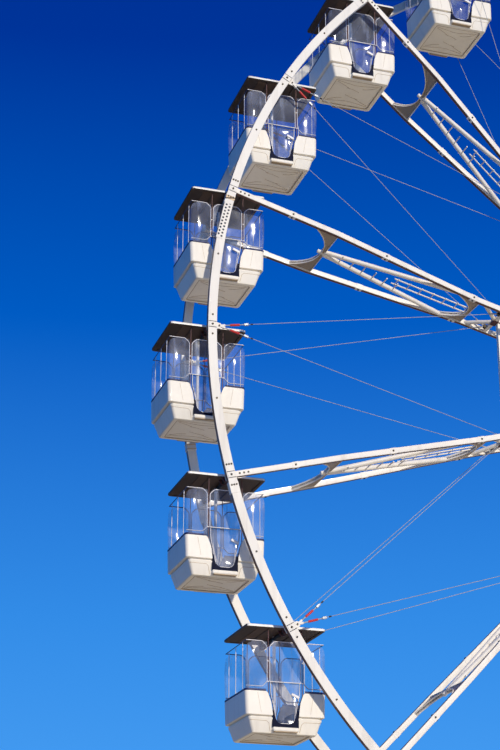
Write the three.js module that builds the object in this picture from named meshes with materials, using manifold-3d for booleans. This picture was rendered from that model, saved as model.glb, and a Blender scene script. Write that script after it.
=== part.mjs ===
// A transportable ferris wheel, 32 m high: twelve flat truss spokes between two rims, twenty-four hanging
// cabins, a braced tower on ground beams and a boarding platform.
// Millimetres, +Z up. The wheel turns about Y, its front faces -Y, and the origin lies on the ground below the hub.
import * as THREE from "three";
import { mergeVertices } from "three/addons/utils/BufferGeometryUtils.js";
import Module from "manifold-3d";

const wasm = await Module();
wasm.setup();

// Driving dimensions
const HUB_HEIGHT = 17260; // axle above the ground
const WHEEL_RADIUS = 14400; // axle to cabin pivot, which is the middle of the rim tube
const CABINS = 24;
const RIM_HALF_SPACING = 1196; // middle plane to the middle of a rim tube
const RIM_DEPTH = 220; // rim tube, along the radius
const RIM_WIDTH = 140; // rim tube, along the axle
const TOWER_HALF_LENGTH = 7500; // middle to the foot of a tower leg
const TOWER_HALF_WIDTH = 4200;
const SEAT_GAP = 0.3; // left between faces that rest on each other
const PIN_CLEARANCE = 0.6; // around a shaft in its bore

const SPOKES = CABINS / 2;
const STEP = (2 * Math.PI) / CABINS;
const RIM_INNER = WHEEL_RADIUS - RIM_DEPTH / 2;
const SIDES = [-1, 1];

// Colours of the real finishes
const finish = (color, roughness, metalness) => new THREE.MeshStandardMaterial({ color, roughness, metalness });
const CREAM_PAINT = finish(0xe9dfcf, 0.45, 0.1);
const TOWER_PAINT = finish(0xe6dccb, 0.5, 0.1);
const SHELL_CREAM = finish(0xe4dac8, 0.35, 0);
const CABLE_STEEL = finish(0xa9adb2, 0.4, 0.8);
const GALVANISED = finish(0x9a9c9c, 0.6, 0.6);
const DRIVE_GREY = finish(0x6f7478, 0.5, 0.3);
const CLEAR_SHEET = finish(0x9fb8d8, 0.15, 0);

// Closed bodies from three.js geometry, and geometry from closed bodies
function solidOf(geometry) {
  const plain = geometry.index ? geometry.toNonIndexed() : geometry;
  const bare = new THREE.BufferGeometry().setAttribute("position", plain.getAttribute("position"));
  const merged = mergeVertices(bare, 1e-3);
  const { array } = merged.getAttribute("position");
  const mesh = new wasm.Mesh({ numProp: 3, vertProperties: array, triVerts: new Uint32Array(merged.index.array) });
  return new wasm.Manifold(mesh);
}

function geometryOf(solid) {
  const { vertProperties, triVerts } = solid.getMesh();
  const geometry = new THREE.BufferGeometry();
  geometry.setAttribute("position", new THREE.BufferAttribute(vertProperties, 3));
  return geometry.setIndex(new THREE.BufferAttribute(triVerts, 1));
}

const join = (solids) => solids.reduce((all, solid) => all.add(solid));

// A box between two corners
function block([x0, y0, z0], [x1, y1, z1]) {
  const geometry = new THREE.BoxGeometry(x1 - x0, y1 - y0, z1 - z0);
  return solidOf(geometry.translate((x0 + x1) / 2, (y0 + y1) / 2, (z0 + z1) / 2));
}

// A straight bar between two points. Its width lies as near to the given side direction as it can.
function bar(from, to, width, depth = width, side = [0, 1, 0]) {
  const start = new THREE.Vector3(...from);
  const along = new THREE.Vector3(...to).sub(start);
  const length = along.length();
  along.normalize();
  const across = new THREE.Vector3(...side).projectOnPlane(along).normalize();
  const frame = new THREE.Matrix4().makeBasis(across, along, new THREE.Vector3().crossVectors(across, along));
  frame.setPosition(start.addScaledVector(along, length / 2));
  return solidOf(new THREE.BoxGeometry(width, length, depth).applyMatrix4(frame));
}

// A round bar along Z or Y, at a point of the plane across it, with corners or flats towards the axes
function rod(axis, [u, v], from, to, radius, sides, turn = 0) {
  const geometry = new THREE.CylinderGeometry(radius, radius, to - from, sides, 1, false, turn);
  geometry.translate(0, (from + to) / 2, 0);
  if (axis === "z") geometry.rotateX(Math.PI / 2).translate(u, v, 0);
  else geometry.translate(u, 0, v);
  return solidOf(geometry);
}

// A flat plate cut from an outline in the X-Y plane, lying from z0 to z1
function plate(outline, z0, z1) {
  const shape = new THREE.Shape(outline.map(([x, y]) => new THREE.Vector2(x, y)));
  return solidOf(new THREE.ExtrudeGeometry(shape, { depth: z1 - z0, bevelEnabled: false }).translate(0, 0, z0));
}

// A plate cut from an outline in the X-Z plane, lying from y0 to y1
function panel(outline, y0, y1) {
  const shape = new THREE.Shape(outline.map(([x, z]) => new THREE.Vector2(x, z)));
  const geometry = new THREE.ExtrudeGeometry(shape, { depth: y1 - y0, bevelEnabled: false });
  return solidOf(geometry.rotateX(Math.PI / 2).translate(0, y1, 0));
}

// A body whose level sections are rectangles: each entry gives a height and the section's half length and half width
function tapered(levels) {
  const position = [];
  const corner = ([z, hx, hy], i) => [i === 0 || i === 3 ? -hx : hx, i < 2 ? -hy : hy, z];
  const quad = (a, b, c, d) => position.push(...a, ...b, ...c, ...a, ...c, ...d);
  levels.slice(1).forEach((upper, k) => {
    const lower = levels[k];
    for (let i = 0; i < 4; i++) {
      const j = (i + 1) % 4;
      quad(corner(lower, i), corner(lower, j), corner(upper, j), corner(upper, i));
    }
  });
  const [bottom, top] = [levels[0], levels[levels.length - 1]];
  quad(corner(bottom, 3), corner(bottom, 2), corner(bottom, 1), corner(bottom, 0));
  quad(corner(top, 0), corner(top, 1), corner(top, 2), corner(top, 3));
  const geometry = new THREE.BufferGeometry();
  return solidOf(geometry.setAttribute("position", new THREE.Float32BufferAttribute(position, 3)));
}

// A ring or drum turned about the Y axis from a closed profile of [distance to a flat, y], with a flat along +X
function turned(profile, facets) {
  const toCorner = 1 / Math.cos(Math.PI / facets);
  const points = [...profile, profile[0]].map(([radius, y]) => new THREE.Vector2(radius * toCorner, y));
  return solidOf(new THREE.LatheGeometry(points, facets, Math.PI / facets));
}

const group = new THREE.Group();

function place(name, solid, material, parent = group) {
  const mesh = new THREE.Mesh(solid.isBufferGeometry ? solid : geometryOf(solid), material);
  mesh.name = name;
  parent.add(mesh);
  return mesh;
}

const numbered = (name, k) => `${name}_${String(k + 1).padStart(2, "0")}`;

// The wheel is a group of its own, centred on the axle: angle a and radius r lie at (r cos a, y, r sin a)
const wheel = new THREE.Group();
wheel.position.z = HUB_HEIGHT;
group.add(wheel);
const onWheel = (angle, radius = WHEEL_RADIUS) => [radius * Math.cos(angle), radius * Math.sin(angle)];
const turnTo = (solid, angle) => solidOf(geometryOf(solid).rotateY(-angle));

// Rims, with a bearing block on the inside for the end of each cabin's axle
const RIM_FACETS = 72;
const BEARING_HALF = 75;
const BEARING_FACE = 985; // middle plane to the inner end of a block

function rim(side) {
  const [near, far] = [-1, 1].map((half) => side * RIM_HALF_SPACING + (half * RIM_WIDTH) / 2);
  const outer = RIM_INNER + RIM_DEPTH;
  const ring = turned([[RIM_INNER, near], [outer, near], [outer, far], [RIM_INNER, far]], RIM_FACETS);
  const [start, end] = [side * BEARING_FACE, side * RIM_HALF_SPACING].sort((a, b) => a - b);
  const [low, high] = [WHEEL_RADIUS - BEARING_HALF, WHEEL_RADIUS + BEARING_HALF];
  const bearing = block([low, start, -BEARING_HALF], [high, end, BEARING_HALF]);
  return join([ring, ...Array.from({ length: CABINS }, (_, k) => turnTo(bearing, k * STEP))]);
}
place("rim_front", rim(-1), CREAM_PAINT, wheel);
place("rim_back", rim(1), CREAM_PAINT, wheel);

// Hub: two flanges on a barrel, and the shaft that turns in the tower's heads
const FLANGE_RADIUS = 900;
const FLANGE_FACES = [530, 670];
const BARREL_RADIUS = 430;
const SHAFT_RADIUS = 150;
const SHAFT_END = 2040;
const HUB_FACETS = 24;

function hubProfile() {
  const half = [
    [SHAFT_RADIUS, SHAFT_END],
    [SHAFT_RADIUS, FLANGE_FACES[1]],
    [FLANGE_RADIUS, FLANGE_FACES[1]],
    [FLANGE_RADIUS, FLANGE_FACES[0]],
    [BARREL_RADIUS, FLANGE_FACES[0]],
  ];
  const mirrored = half.map(([radius, y]) => [radius, -y]);
  return [[0, -SHAFT_END], ...mirrored, ...half.reverse(), [0, SHAFT_END]];
}
place("hub", turned(hubProfile(), HUB_FACETS), CREAM_PAINT, wheel);

// Truss spokes, drawn along +X: each lies flat in the plane of its radius and the axle
const CHORD_WIDTH = 120; // along the axle
const CHORD_DEPTH = 140; // around the wheel
const BRACE = 110;
const BRACE_FOOT = 8000; // radius where the outer braces meet the chords
const BRACE_HEAD = [20, 60]; // where they start, inwards of the outer frame and off its middle
const INNER_BRACE = { chord: 150, beam: 60, side: 40, depth: 90 }; // from the inner frame to the anchor beam
const OUTER_FRAME = 11500; // radius of the hollowed frame below a hanging cabin
const INNER_FRAME = 7370;
const FRAME_WEB = 120;
const FRAME_RUN = { outer: 560, inner: 640 }; // how far a frame's hollow edge runs out along the chords
const HOLLOW = 2.6; // power of the curve of that edge
const INNER_RUNG = 3650; // inner face of a plain beam between the chords
const ANCHOR_BEAM = 6500; // inner face of the beam that the stays are anchored to
const BEAM = { depth: 100, halfLength: 600 };
const TIE = 120;
const CHORD_STATIONS = [
  [FLANGE_RADIUS + SEAT_GAP, 600],
  [INNER_FRAME, 650],
  [OUTER_FRAME, 1100],
  [RIM_INNER - SEAT_GAP, RIM_HALF_SPACING],
];

// Where a chord's middle line lies at a given radius
function chordY(radius) {
  const k = CHORD_STATIONS.findIndex(([r]) => r >= radius);
  const [[r0, y0], [r1, y1]] = CHORD_STATIONS.slice(k - 1, k + 1);
  return y0 + ((y1 - y0) * (radius - r0)) / (r1 - r0);
}

function chord(side) {
  const near = CHORD_STATIONS.map(([r, y]) => [r, side * y - CHORD_WIDTH / 2]);
  const far = CHORD_STATIONS.map(([r, y]) => [r, side * y + CHORD_WIDTH / 2]);
  return plate([...near, ...far.reverse()], -CHORD_DEPTH / 2, CHORD_DEPTH / 2);
}

// A cross frame between the chords. Its far edge is hollowed and runs out along the chords.
function hollowFrame(radius, run) {
  const SPANS = 6;
  const edge = Array.from({ length: SPANS + 1 }, (_, k) => {
    const share = 1 - (2 * k) / SPANS;
    const r = radius + FRAME_WEB / 2 + run * Math.abs(share) ** HOLLOW;
    return [r, share * chordY(r)];
  });
  const back = radius - FRAME_WEB / 2;
  return plate([[back, -chordY(back)], ...edge.reverse(), [back, chordY(back)]], -CHORD_DEPTH / 2, CHORD_DEPTH / 2);
}

// A straight beam between the chords, from its inner face outwards
function beam(radius) {
  const { depth, halfLength } = BEAM;
  return block([radius, -halfLength, -depth / 2], [radius + depth, halfLength, depth / 2]);
}

function spoke() {
  const tieBlock = block([ANCHOR_BEAM - TIE, -TIE / 2, -TIE / 2], [ANCHOR_BEAM + BEAM.depth / 2, TIE / 2, TIE / 2]);
  const solids = [
    hollowFrame(OUTER_FRAME, FRAME_RUN.outer),
    hollowFrame(INNER_FRAME, FRAME_RUN.inner),
    beam(ANCHOR_BEAM),
    beam(INNER_RUNG),
    tieBlock,
    tieBeam(),
  ];
  for (const side of SIDES) {
    const onChord = (r) => [r, side * chordY(r), 0];
    const head = [OUTER_FRAME - BRACE_HEAD[0], side * BRACE_HEAD[1], 0];
    const node = [ANCHOR_BEAM + INNER_BRACE.beam, side * INNER_BRACE.side, 0];
    solids.push(
      chord(side),
      bar(head, onChord(BRACE_FOOT), BRACE),
      bar(onChord(INNER_FRAME - INNER_BRACE.chord), node, BRACE, INNER_BRACE.depth),
    );
  }
  return join(solids);
}

// The straight beam that ties a spoke to the next one, cut to rest against the next one's block
function tieBeam() {
  const middle = ANCHOR_BEAM - TIE / 2;
  const [nextX, nextZ] = onWheel(2 * STEP, middle);
  const pastNext = block([middle - 2 * TIE, -TIE, -TIE / 2 - SEAT_GAP], [middle + 2 * TIE, TIE, 2 * TIE]);
  return bar([middle, 0, 0], [nextX, 0, nextZ], TIE).subtract(turnTo(pastNext, 2 * STEP));
}
for (let k = 0; k < SPOKES; k++) {
  place(numbered("spoke", k), spoke(), CREAM_PAINT, wheel).rotation.y = -STEP * (2 * k + 1);
}

// Stays: from a lug at every other cabin's rim joint, two cables run to the anchor beams of the spokes beside it
const CABLE = 20;
const LUG = { reach: 140, halfWidth: 40, halfHeight: 70 };
const ANCHOR = { y: 430, depth: 80, halfWidth: 45, halfHeight: 50 };

function stays(side) {
  const [lugY, anchorY] = [side * RIM_HALF_SPACING, side * ANCHOR.y];
  const lugFoot = RIM_INNER - SEAT_GAP;
  const lug = block(
    [lugFoot - LUG.reach, lugY - LUG.halfWidth, -LUG.halfHeight],
    [lugFoot, lugY + LUG.halfWidth, LUG.halfHeight],
  );
  const anchorFoot = ANCHOR_BEAM + BEAM.depth + SEAT_GAP;
  const anchor = block(
    [anchorFoot, anchorY - ANCHOR.halfWidth, -ANCHOR.halfHeight],
    [anchorFoot + ANCHOR.depth, anchorY + ANCHOR.halfWidth, ANCHOR.halfHeight],
  );
  const cable = (turn) => {
    const [endX, endZ] = onWheel(turn, anchorFoot + ANCHOR.depth / 2);
    return bar([lugFoot - LUG.reach / 2, lugY, 0], [endX, anchorY, endZ], CABLE);
  };
  const solids = [];
  for (let k = 0; k < SPOKES; k++) {
    const angle = 2 * k * STEP;
    solids.push(turnTo(join([lug, cable(STEP), cable(-STEP)]), angle), turnTo(anchor, angle + STEP));
  }
  return join(solids);
}
place("stays_front", stays(-1), CABLE_STEEL, wheel);
place("stays_back", stays(1), CABLE_STEEL, wheel);

// Cabins: heights are measured from the pivot, and both ends are alike
const ROOF = { halfLength: 950, halfWidth: 910, under: 45, top: 110 };
const AXLE_RADIUS = 50;
const AXLE_SIDES = 8;
const CAGE = { top: -320, halfLength: 915, halfWidth: 780, shoulder: 60 }; // the shoulder narrows the wall to the roof
const SHEET = 20;
const ENTRY = 5; // how far a piece enters the one that it's welded to
const CUT = 50; // how far a cut reaches past a face
const DOOR_POST = 400; // middle to the edge of the clear wall beside the door
const TUB_TOP = -1375;
const GROOVE = -1940;
const KEEL = -2300;
const TUB_LEVELS = [
  [KEEL, 760, 725],
  [GROOVE - 5, 865, 790],
  [GROOVE, 935, 835],
  [TUB_TOP, 955, 815],
];
const SEAT_SPACE = [895, 750];
const LEG_SPACE = [450, 700];
const BENCH = -1720;
const FLOOR = -2160;
const BEYOND = 1000; // past the cabin's ends
const DOORWAY_LEVELS = [
  [FLOOR, 280, BEYOND],
  [TUB_TOP + CUT, 410, BEYOND],
];
const LEAF = { sill: -2145, sillHalf: 260, knee: -1700, kneeHalf: 268, half: 345, top: -350, thick: 30 };
const HINGE = { x: -365, y: -760, radius: 14, sides: 8, heights: [-510, -1310], lug: 40, knuckle: 60, plate: 10 };
const POLE = 80;

// An upright sheet, alike on both sides of the cabin's middle
function sheet(half, y, thick) {
  const mirrored = half.map(([x, z]) => [-x, z]).reverse();
  return panel([...half, ...mirrored], y - thick / 2, y + thick / 2);
}

// The door narrows below the bench, so that it swings inwards past the doorway's edge
const doorLow = (top) => [[LEAF.sillHalf, LEAF.sill], [LEAF.kneeHalf, LEAF.knee], [LEAF.half, top]];
const doorLeaf = () => sheet([...doorLow(TUB_TOP), [LEAF.half, LEAF.top]], HINGE.y, LEAF.thick);

// The clear wall of one end, from the tub's edge to the roof, with its door shut or left out
function endWall(doorShut) {
  const low = TUB_TOP - SHEET;
  const { halfLength, halfWidth, shoulder, top } = CAGE;
  const outline = [[halfLength, low], [halfLength, top], [halfLength - shoulder, ROOF.under + ENTRY]];
  if (doorShut) outline.unshift(...doorLow(low));
  const wall = sheet(outline, -halfWidth, SHEET);
  if (doorShut) return wall;
  return wall.subtract(block([-DOOR_POST, -BEYOND, KEEL], [DOOR_POST, 0, LEAF.top + SHEET]));
}

// The part of a hinge on the post, whose top the leaf's part rests on
function hingeLug(z) {
  const { x, y, radius, sides, lug, plate } = HINGE;
  const arm = block([-DOOR_POST - plate, y - 2 * plate, z - lug], [x, y + plate, z]);
  return join([rod("z", [x, y], z - lug, z, radius, sides), arm]);
}

function hingeKnuckle(z) {
  const { x, y, radius, sides, knuckle, plate } = HINGE;
  const foot = z + SEAT_GAP;
  const tab = block([x, y - plate, foot], [-LEAF.half + plate, y + plate, foot + knuckle]);
  return join([rod("z", [x, y], foot, foot + knuckle, radius, sides), tab]);
}

function cabin(frontDoorShut) {
  const tub = tapered(TUB_LEVELS)
    .subtract(block([-SEAT_SPACE[0], -SEAT_SPACE[1], BENCH], [SEAT_SPACE[0], SEAT_SPACE[1], TUB_TOP + CUT]))
    .subtract(block([-LEG_SPACE[0], -LEG_SPACE[1], FLOOR], [LEG_SPACE[0], LEG_SPACE[1], BENCH + CUT]))
    .subtract(tapered(DOORWAY_LEVELS));
  const axleEnd = BEARING_FACE - SEAT_GAP;
  return join([
    tub,
    block([-ROOF.halfLength, -ROOF.halfWidth, ROOF.under], [ROOF.halfLength, ROOF.halfWidth, ROOF.top]),
    endWall(frontDoorShut),
    solidOf(geometryOf(endWall(true)).rotateZ(Math.PI)),
    rod("y", [0, 0], -axleEnd, axleEnd, AXLE_RADIUS, AXLE_SIDES),
    block([-POLE / 2, -POLE / 2, FLOOR - ENTRY], [POLE / 2, POLE / 2, ROOF.under + ENTRY]),
    ...(frontDoorShut ? [] : HINGE.heights.map(hingeLug)),
  ]);
}
const cabinGeometry = geometryOf(cabin(true));
for (let k = 0; k < CABINS; k++) {
  const geometry = k === 0 ? geometryOf(cabin(false)) : cabinGeometry;
  const [x, z] = onWheel(1.5 * Math.PI - k * STEP);
  place(numbered("cabin", k), geometry, SHELL_CREAM, wheel).position.set(x, 0, z);
}
const boardingDoor = join([doorLeaf(), ...HINGE.heights.map(hingeKnuckle)]);
place("boarding_door", boardingDoor, CLEAR_SHEET, wheel).position.z = -WHEEL_RADIUS;

// Tower: at each end of the axle a head on two legs, tied across, standing on a ground beam
const HEAD = { halfLength: 520, inner: 1560, outer: 1980, up: 420, down: 760 };
const LEG = [300, 420];
const LEG_TOP = [330, 1770, HUB_HEIGHT - 200];
const GROUND_BEAM = { height: 350, halfWidth: 260, halfLength: 8100 };
const CROSS_TIES = [9000, 13800]; // heights
const CROSS_TIE = 200;
const FOOT_CUT = 500; // the legs run into the ground beams and are cut off level above them

function legPoint(z) {
  const share = (LEG_TOP[2] - z) / (LEG_TOP[2] - GROUND_BEAM.height);
  return [LEG_TOP[0] + (TOWER_HALF_LENGTH - LEG_TOP[0]) * share, LEG_TOP[1] + (TOWER_HALF_WIDTH - LEG_TOP[1]) * share];
}

function tower(side) {
  const [near, far] = [side * HEAD.inner, side * HEAD.outer].sort((a, b) => a - b);
  const solids = [block([-HEAD.halfLength, near, HUB_HEIGHT - HEAD.down], [HEAD.halfLength, far, HUB_HEIGHT + HEAD.up])];
  for (const end of SIDES) {
    const low = GROUND_BEAM.height / 2;
    const [footX, footY] = legPoint(low);
    const foot = [end * footX, side * footY, low];
    solids.push(bar([end * LEG_TOP[0], side * LEG_TOP[1], LEG_TOP[2]], foot, ...LEG));
  }
  for (const z of CROSS_TIES) {
    const [x, y] = legPoint(z);
    solids.push(bar([-x, side * y, z], [x, side * y, z], CROSS_TIE));
  }
  const [cutX, cutY] = [GROUND_BEAM.halfLength + FOOT_CUT, TOWER_HALF_WIDTH + FOOT_CUT];
  const underFeet = block([-cutX, -cutY, -FOOT_CUT], [cutX, cutY, GROUND_BEAM.height + SEAT_GAP]);
  const toCorner = 1 / Math.cos(Math.PI / HUB_FACETS);
  const bore = (SHAFT_RADIUS * toCorner + PIN_CLEARANCE) * toCorner;
  const shaftSpace = rod("y", [0, HUB_HEIGHT], near - CUT, far + CUT, bore, HUB_FACETS);
  return join(solids).subtract(underFeet).subtract(shaftSpace);
}
place("tower_front", tower(-1), TOWER_PAINT);
place("tower_back", tower(1), TOWER_PAINT);

// Ground frame: a beam under each tower and two beams across
const ACROSS = { x: 3200, halfWidth: 160, height: 300 };

for (const [name, side] of [["ground_beam_front", -1], ["ground_beam_back", 1]]) {
  const y = [TOWER_HALF_WIDTH - GROUND_BEAM.halfWidth, TOWER_HALF_WIDTH + GROUND_BEAM.halfWidth].map((v) => side * v);
  y.sort((a, b) => a - b);
  const { halfLength, height } = GROUND_BEAM;
  place(name, block([-halfLength, y[0], 0], [halfLength, y[1], height]), TOWER_PAINT);
}
for (const [name, side] of [["cross_beam_left", -1], ["cross_beam_right", 1]]) {
  const end = TOWER_HALF_WIDTH - GROUND_BEAM.halfWidth - SEAT_GAP;
  const [x, half] = [side * ACROSS.x, ACROSS.halfWidth];
  place(name, block([x - half, -end, 0], [x + half, end, ACROSS.height]), TOWER_PAINT);
}

// Boarding platform in front of the lowest cabin, with a flight of steps at each end
const DECK = { halfLength: 4000, inner: -900, outer: -3400, top: 750, thick: 60, leg: 80 };
const DECK_LEGS = [-ACROSS.x, -1100, 1100, ACROSS.x]; // the outer ones stand on the cross beams
const LEG_INSET = 150;
const DECK_SKIRT = 240;
const STEPS = { count: 4, tread: 300, inner: -1500, outer: -2700 };
const HANDRAIL = { height: 1100, post: 50, rail: 40, y: -3350, bay: 1950 };

function deck() {
  const { halfLength, inner, outer, top, thick, leg } = DECK;
  const solids = [block([-halfLength, outer, top - thick], [halfLength, inner, top])];
  for (const x of DECK_LEGS) {
    const foot = Math.abs(x) === ACROSS.x ? ACROSS.height + SEAT_GAP : 0;
    for (const y of [inner - LEG_INSET, outer + LEG_INSET]) {
      solids.push(block([x - leg / 2, y - leg / 2, foot], [x + leg / 2, y + leg / 2, top - thick / 2]));
    }
  }
  for (const side of SIDES) {
    const [near, far] = [side * (halfLength - thick), side * halfLength].sort((a, b) => a - b);
    solids.push(block([near, outer, top - DECK_SKIRT], [far, inner, top - thick / 2]));
  }
  return join(solids);
}
place("platform_deck", deck(), GALVANISED);

function steps(side) {
  const start = DECK.halfLength + SEAT_GAP;
  const rise = DECK.top / (STEPS.count + 1);
  const outline = [[side * start, 0]];
  for (let k = 0; k < STEPS.count; k++) {
    const x = start + (STEPS.count - k) * STEPS.tread;
    outline.push([side * x, k * rise], [side * x, (k + 1) * rise]);
  }
  outline.push([side * start, STEPS.count * rise]);
  return panel(outline, STEPS.outer, STEPS.inner);
}
place("steps_left", steps(-1), GALVANISED);
place("steps_right", steps(1), GALVANISED);

function handrail() {
  const { height, post, rail, y, bay } = HANDRAIL;
  const foot = DECK.top + SEAT_GAP;
  const solids = [-2, -1, 0, 1, 2].map((k) =>
    block([k * bay - post / 2, y - post / 2, foot], [k * bay + post / 2, y + post / 2, foot + height]),
  );
  for (const z of [foot + height / 2, foot + height - post / 2]) {
    solids.push(block([-2 * bay, y - rail / 2, z - rail / 2], [2 * bay, y + rail / 2, z + rail / 2]));
  }
  return join(solids);
}
place("handrail", handrail(), GALVANISED);

// Geared motor on the back head, over the end of the shaft
const GEARBOX = { halfLength: 380, depth: 420, up: 300, down: 420 };
const MOTOR = { half: 200, inner: 60, outer: 400, down: 1150 };
const SHAFT_SPACE = { around: 40, past: 60 };

function drive() {
  const y = HEAD.outer + SEAT_GAP;
  const { halfLength, depth, up, down } = GEARBOX;
  const housing = block([-halfLength, y, HUB_HEIGHT - down], [halfLength, y + depth, HUB_HEIGHT + up]);
  const motor = block(
    [-MOTOR.half, y + MOTOR.inner, HUB_HEIGHT - MOTOR.down],
    [MOTOR.half, y + MOTOR.outer, HUB_HEIGHT - down + CUT],
  );
  const end = SHAFT_END + SHAFT_SPACE.past;
  const shaftSpace = rod("y", [0, HUB_HEIGHT], y - CUT, end, SHAFT_RADIUS + SHAFT_SPACE.around, HUB_FACETS);
  return join([housing, motor]).subtract(shaftSpace);
}
place("drive_unit", drive(), DRIVE_GREY);

export default group;
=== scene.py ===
# %% [markdown]
# # A transportable ferris wheel, dressed around its CAD frame
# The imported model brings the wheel's solids, its joints and its material slots. This lesson builds the
# visible pieces on them, in metres, and every piece rides on the CAD body that it belongs to.

# %% The fixed frame
import math

import bmesh
import bpy
from mathutils import Matrix, Vector
from mathutils.geometry import interpolate_bezier


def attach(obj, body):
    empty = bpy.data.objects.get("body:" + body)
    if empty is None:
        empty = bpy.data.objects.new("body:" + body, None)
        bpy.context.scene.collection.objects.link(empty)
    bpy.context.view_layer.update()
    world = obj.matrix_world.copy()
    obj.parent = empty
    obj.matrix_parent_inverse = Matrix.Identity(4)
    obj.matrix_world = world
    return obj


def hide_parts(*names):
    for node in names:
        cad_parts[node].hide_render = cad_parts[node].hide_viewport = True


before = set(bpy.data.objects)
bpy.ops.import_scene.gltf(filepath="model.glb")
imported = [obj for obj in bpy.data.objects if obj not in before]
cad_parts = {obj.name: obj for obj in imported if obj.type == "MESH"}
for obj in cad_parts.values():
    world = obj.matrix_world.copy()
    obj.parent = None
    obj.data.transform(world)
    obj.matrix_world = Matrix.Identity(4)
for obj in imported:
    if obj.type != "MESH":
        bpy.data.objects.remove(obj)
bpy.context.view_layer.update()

# %% [markdown]
# The camera stands on the ground left of the wheel and looks up through a short telephoto lens. Its place
# and angles were solved from the rim's curve, the spoke joints and the cabins' corners in the photograph.

# %% Camera
CAMERA_PLACE = (-24.375, -35.685, 1.386)
CAMERA_YAW, CAMERA_PITCH, CAMERA_ROLL = (math.radians(angle) for angle in (17.588, 22.115, 0.083))
FOCAL_LENGTH, FARTHEST = 78.92, 2000

camera = bpy.data.objects.new("camera", bpy.data.cameras.new("camera"))
camera.data.lens = FOCAL_LENGTH
camera.data.clip_end = FARTHEST
camera.matrix_world = (
    Matrix.Translation(CAMERA_PLACE)
    @ Matrix.Rotation(-CAMERA_YAW, 4, "Z")
    @ Matrix.Rotation(math.pi / 2 + CAMERA_PITCH, 4, "X")
    @ Matrix.Rotation(CAMERA_ROLL, 4, "Z")
)
bpy.context.scene.collection.objects.link(camera)
bpy.context.scene.camera = camera
print("camera", CAMERA_PLACE)

# %% [markdown]
# The driving sizes repeat the CAD source in metres, so each piece lands on its solid. Repeated shapes are
# drawn once at the origin and put in place by matrices: a turn about the axle, a shift, or a mirror.

# %% Driving sizes
HUB_HEIGHT = 17.26
WHEEL_RADIUS = 14.4
CABINS = 24
STEP = 2 * math.pi / CABINS
RIM_HALF_SPACING = 1.196
RIM_DEPTH = 0.22
RIM_WIDTH = 0.14
SEAT_GAP = 0.0003
SIDES = (-1, 1)
FRONT_BACK = (("front", -1), ("back", 1))
LEFT_RIGHT = (("left", -1), ("right", 1))
ENDS = (Matrix.Identity(4), Matrix.Rotation(math.pi, 4, "Z"))
HUB = Matrix.Translation((0, 0, HUB_HEIGHT))


def place_at(x=0.0, y=0.0, z=0.0):
    """Moves a shape from the origin to its place"""
    return Matrix.Translation((x, y, z))


def mirrored(x=1, y=1):
    """Mirrors a shape left to right where x is -1, and front to back where y is -1"""
    return Matrix.Diagonal((x, y, 1, 1))


def wheel_turn(angle):
    """Takes a shape drawn along +X to its angle on the wheel"""
    return HUB @ Matrix.Rotation(-angle, 4, "Y")


def pivot_of(number):
    """The pivot of a cabin, counted from the lowest one towards the left"""
    angle = 1.5 * math.pi - (number - 1) * STEP
    return HUB @ place_at(WHEEL_RADIUS * math.cos(angle), 0, WHEEL_RADIUS * math.sin(angle))


print("first pivot", tuple(round(c, 3) for c in pivot_of(1).translation))

# %% [markdown]
# A finish is a Principled shader whose constant values sit on its own sockets. Only what varies over the
# surface comes from nodes: slow clouds of fading, thin rain streaks that run down, and a fine grain that
# also drives the bump. All patterns read Object coordinates, so they stay with the piece when it moves.

# %% A helper for finishes


class Finish:
    """One material in the making"""

    def __init__(self, name, **constants):
        self.material = bpy.data.materials.new(name)
        self.material.use_nodes = True
        self.nodes = self.material.node_tree.nodes
        self.links = self.material.node_tree.links
        self.shader = self.nodes["Principled BSDF"]
        for socket, value in constants.items():
            self.shader.inputs[socket.replace("_", " ")].default_value = value
        self.where = self.nodes.new("ShaderNodeTexCoord").outputs["Object"]

    def node(self, kind, **inputs):
        """A new node with its named sockets set or linked"""
        made = self.nodes.new(kind)
        for socket, value in inputs.items():
            target = made.inputs[socket.replace("_", " ")]
            if isinstance(value, bpy.types.NodeSocket):
                self.links.new(value, target)
            else:
                target.default_value = value
        return made

    def noise(self, scale, stretch=(1, 1, 1), detail=4.0):
        place = self.node("ShaderNodeMapping", Vector=self.where, Scale=stretch).outputs["Vector"]
        return self.node("ShaderNodeTexNoise", Vector=place, Scale=scale, Detail=detail).outputs["Fac"]

    def ranged(self, value, low, high, to_low=0.0, to_high=1.0):
        made = self.node("ShaderNodeMapRange", Value=value)
        for socket, limit in zip(("From Min", "From Max", "To Min", "To Max"), (low, high, to_low, to_high)):
            made.inputs[socket].default_value = limit
        return made.outputs["Result"]

    def mix(self, share, first, second):
        made = self.nodes.new("ShaderNodeMix")
        made.data_type = "RGBA"
        for index, value in ((0, share), (6, first), (7, second)):
            if isinstance(value, bpy.types.NodeSocket):
                self.links.new(value, made.inputs[index])
            else:
                made.inputs[index].default_value = (*value, 1)
        return made.outputs[2]

    def relief(self, height, strength, depth):
        bump = self.node("ShaderNodeBump", Height=height, Strength=strength, Distance=depth)
        self.links.new(bump.outputs["Normal"], self.shader.inputs["Normal"])

    def send(self, value, socket):
        self.links.new(value, self.shader.inputs[socket])


print("finish helper ready")

# %% [markdown]
# Painted steel and gelcoat share one recipe. What differs is the colour, how strongly rain has streaked
# it, the gloss and the grain. A real paint shop would call this one system with different top coats.

# %% A recipe for paint


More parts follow.
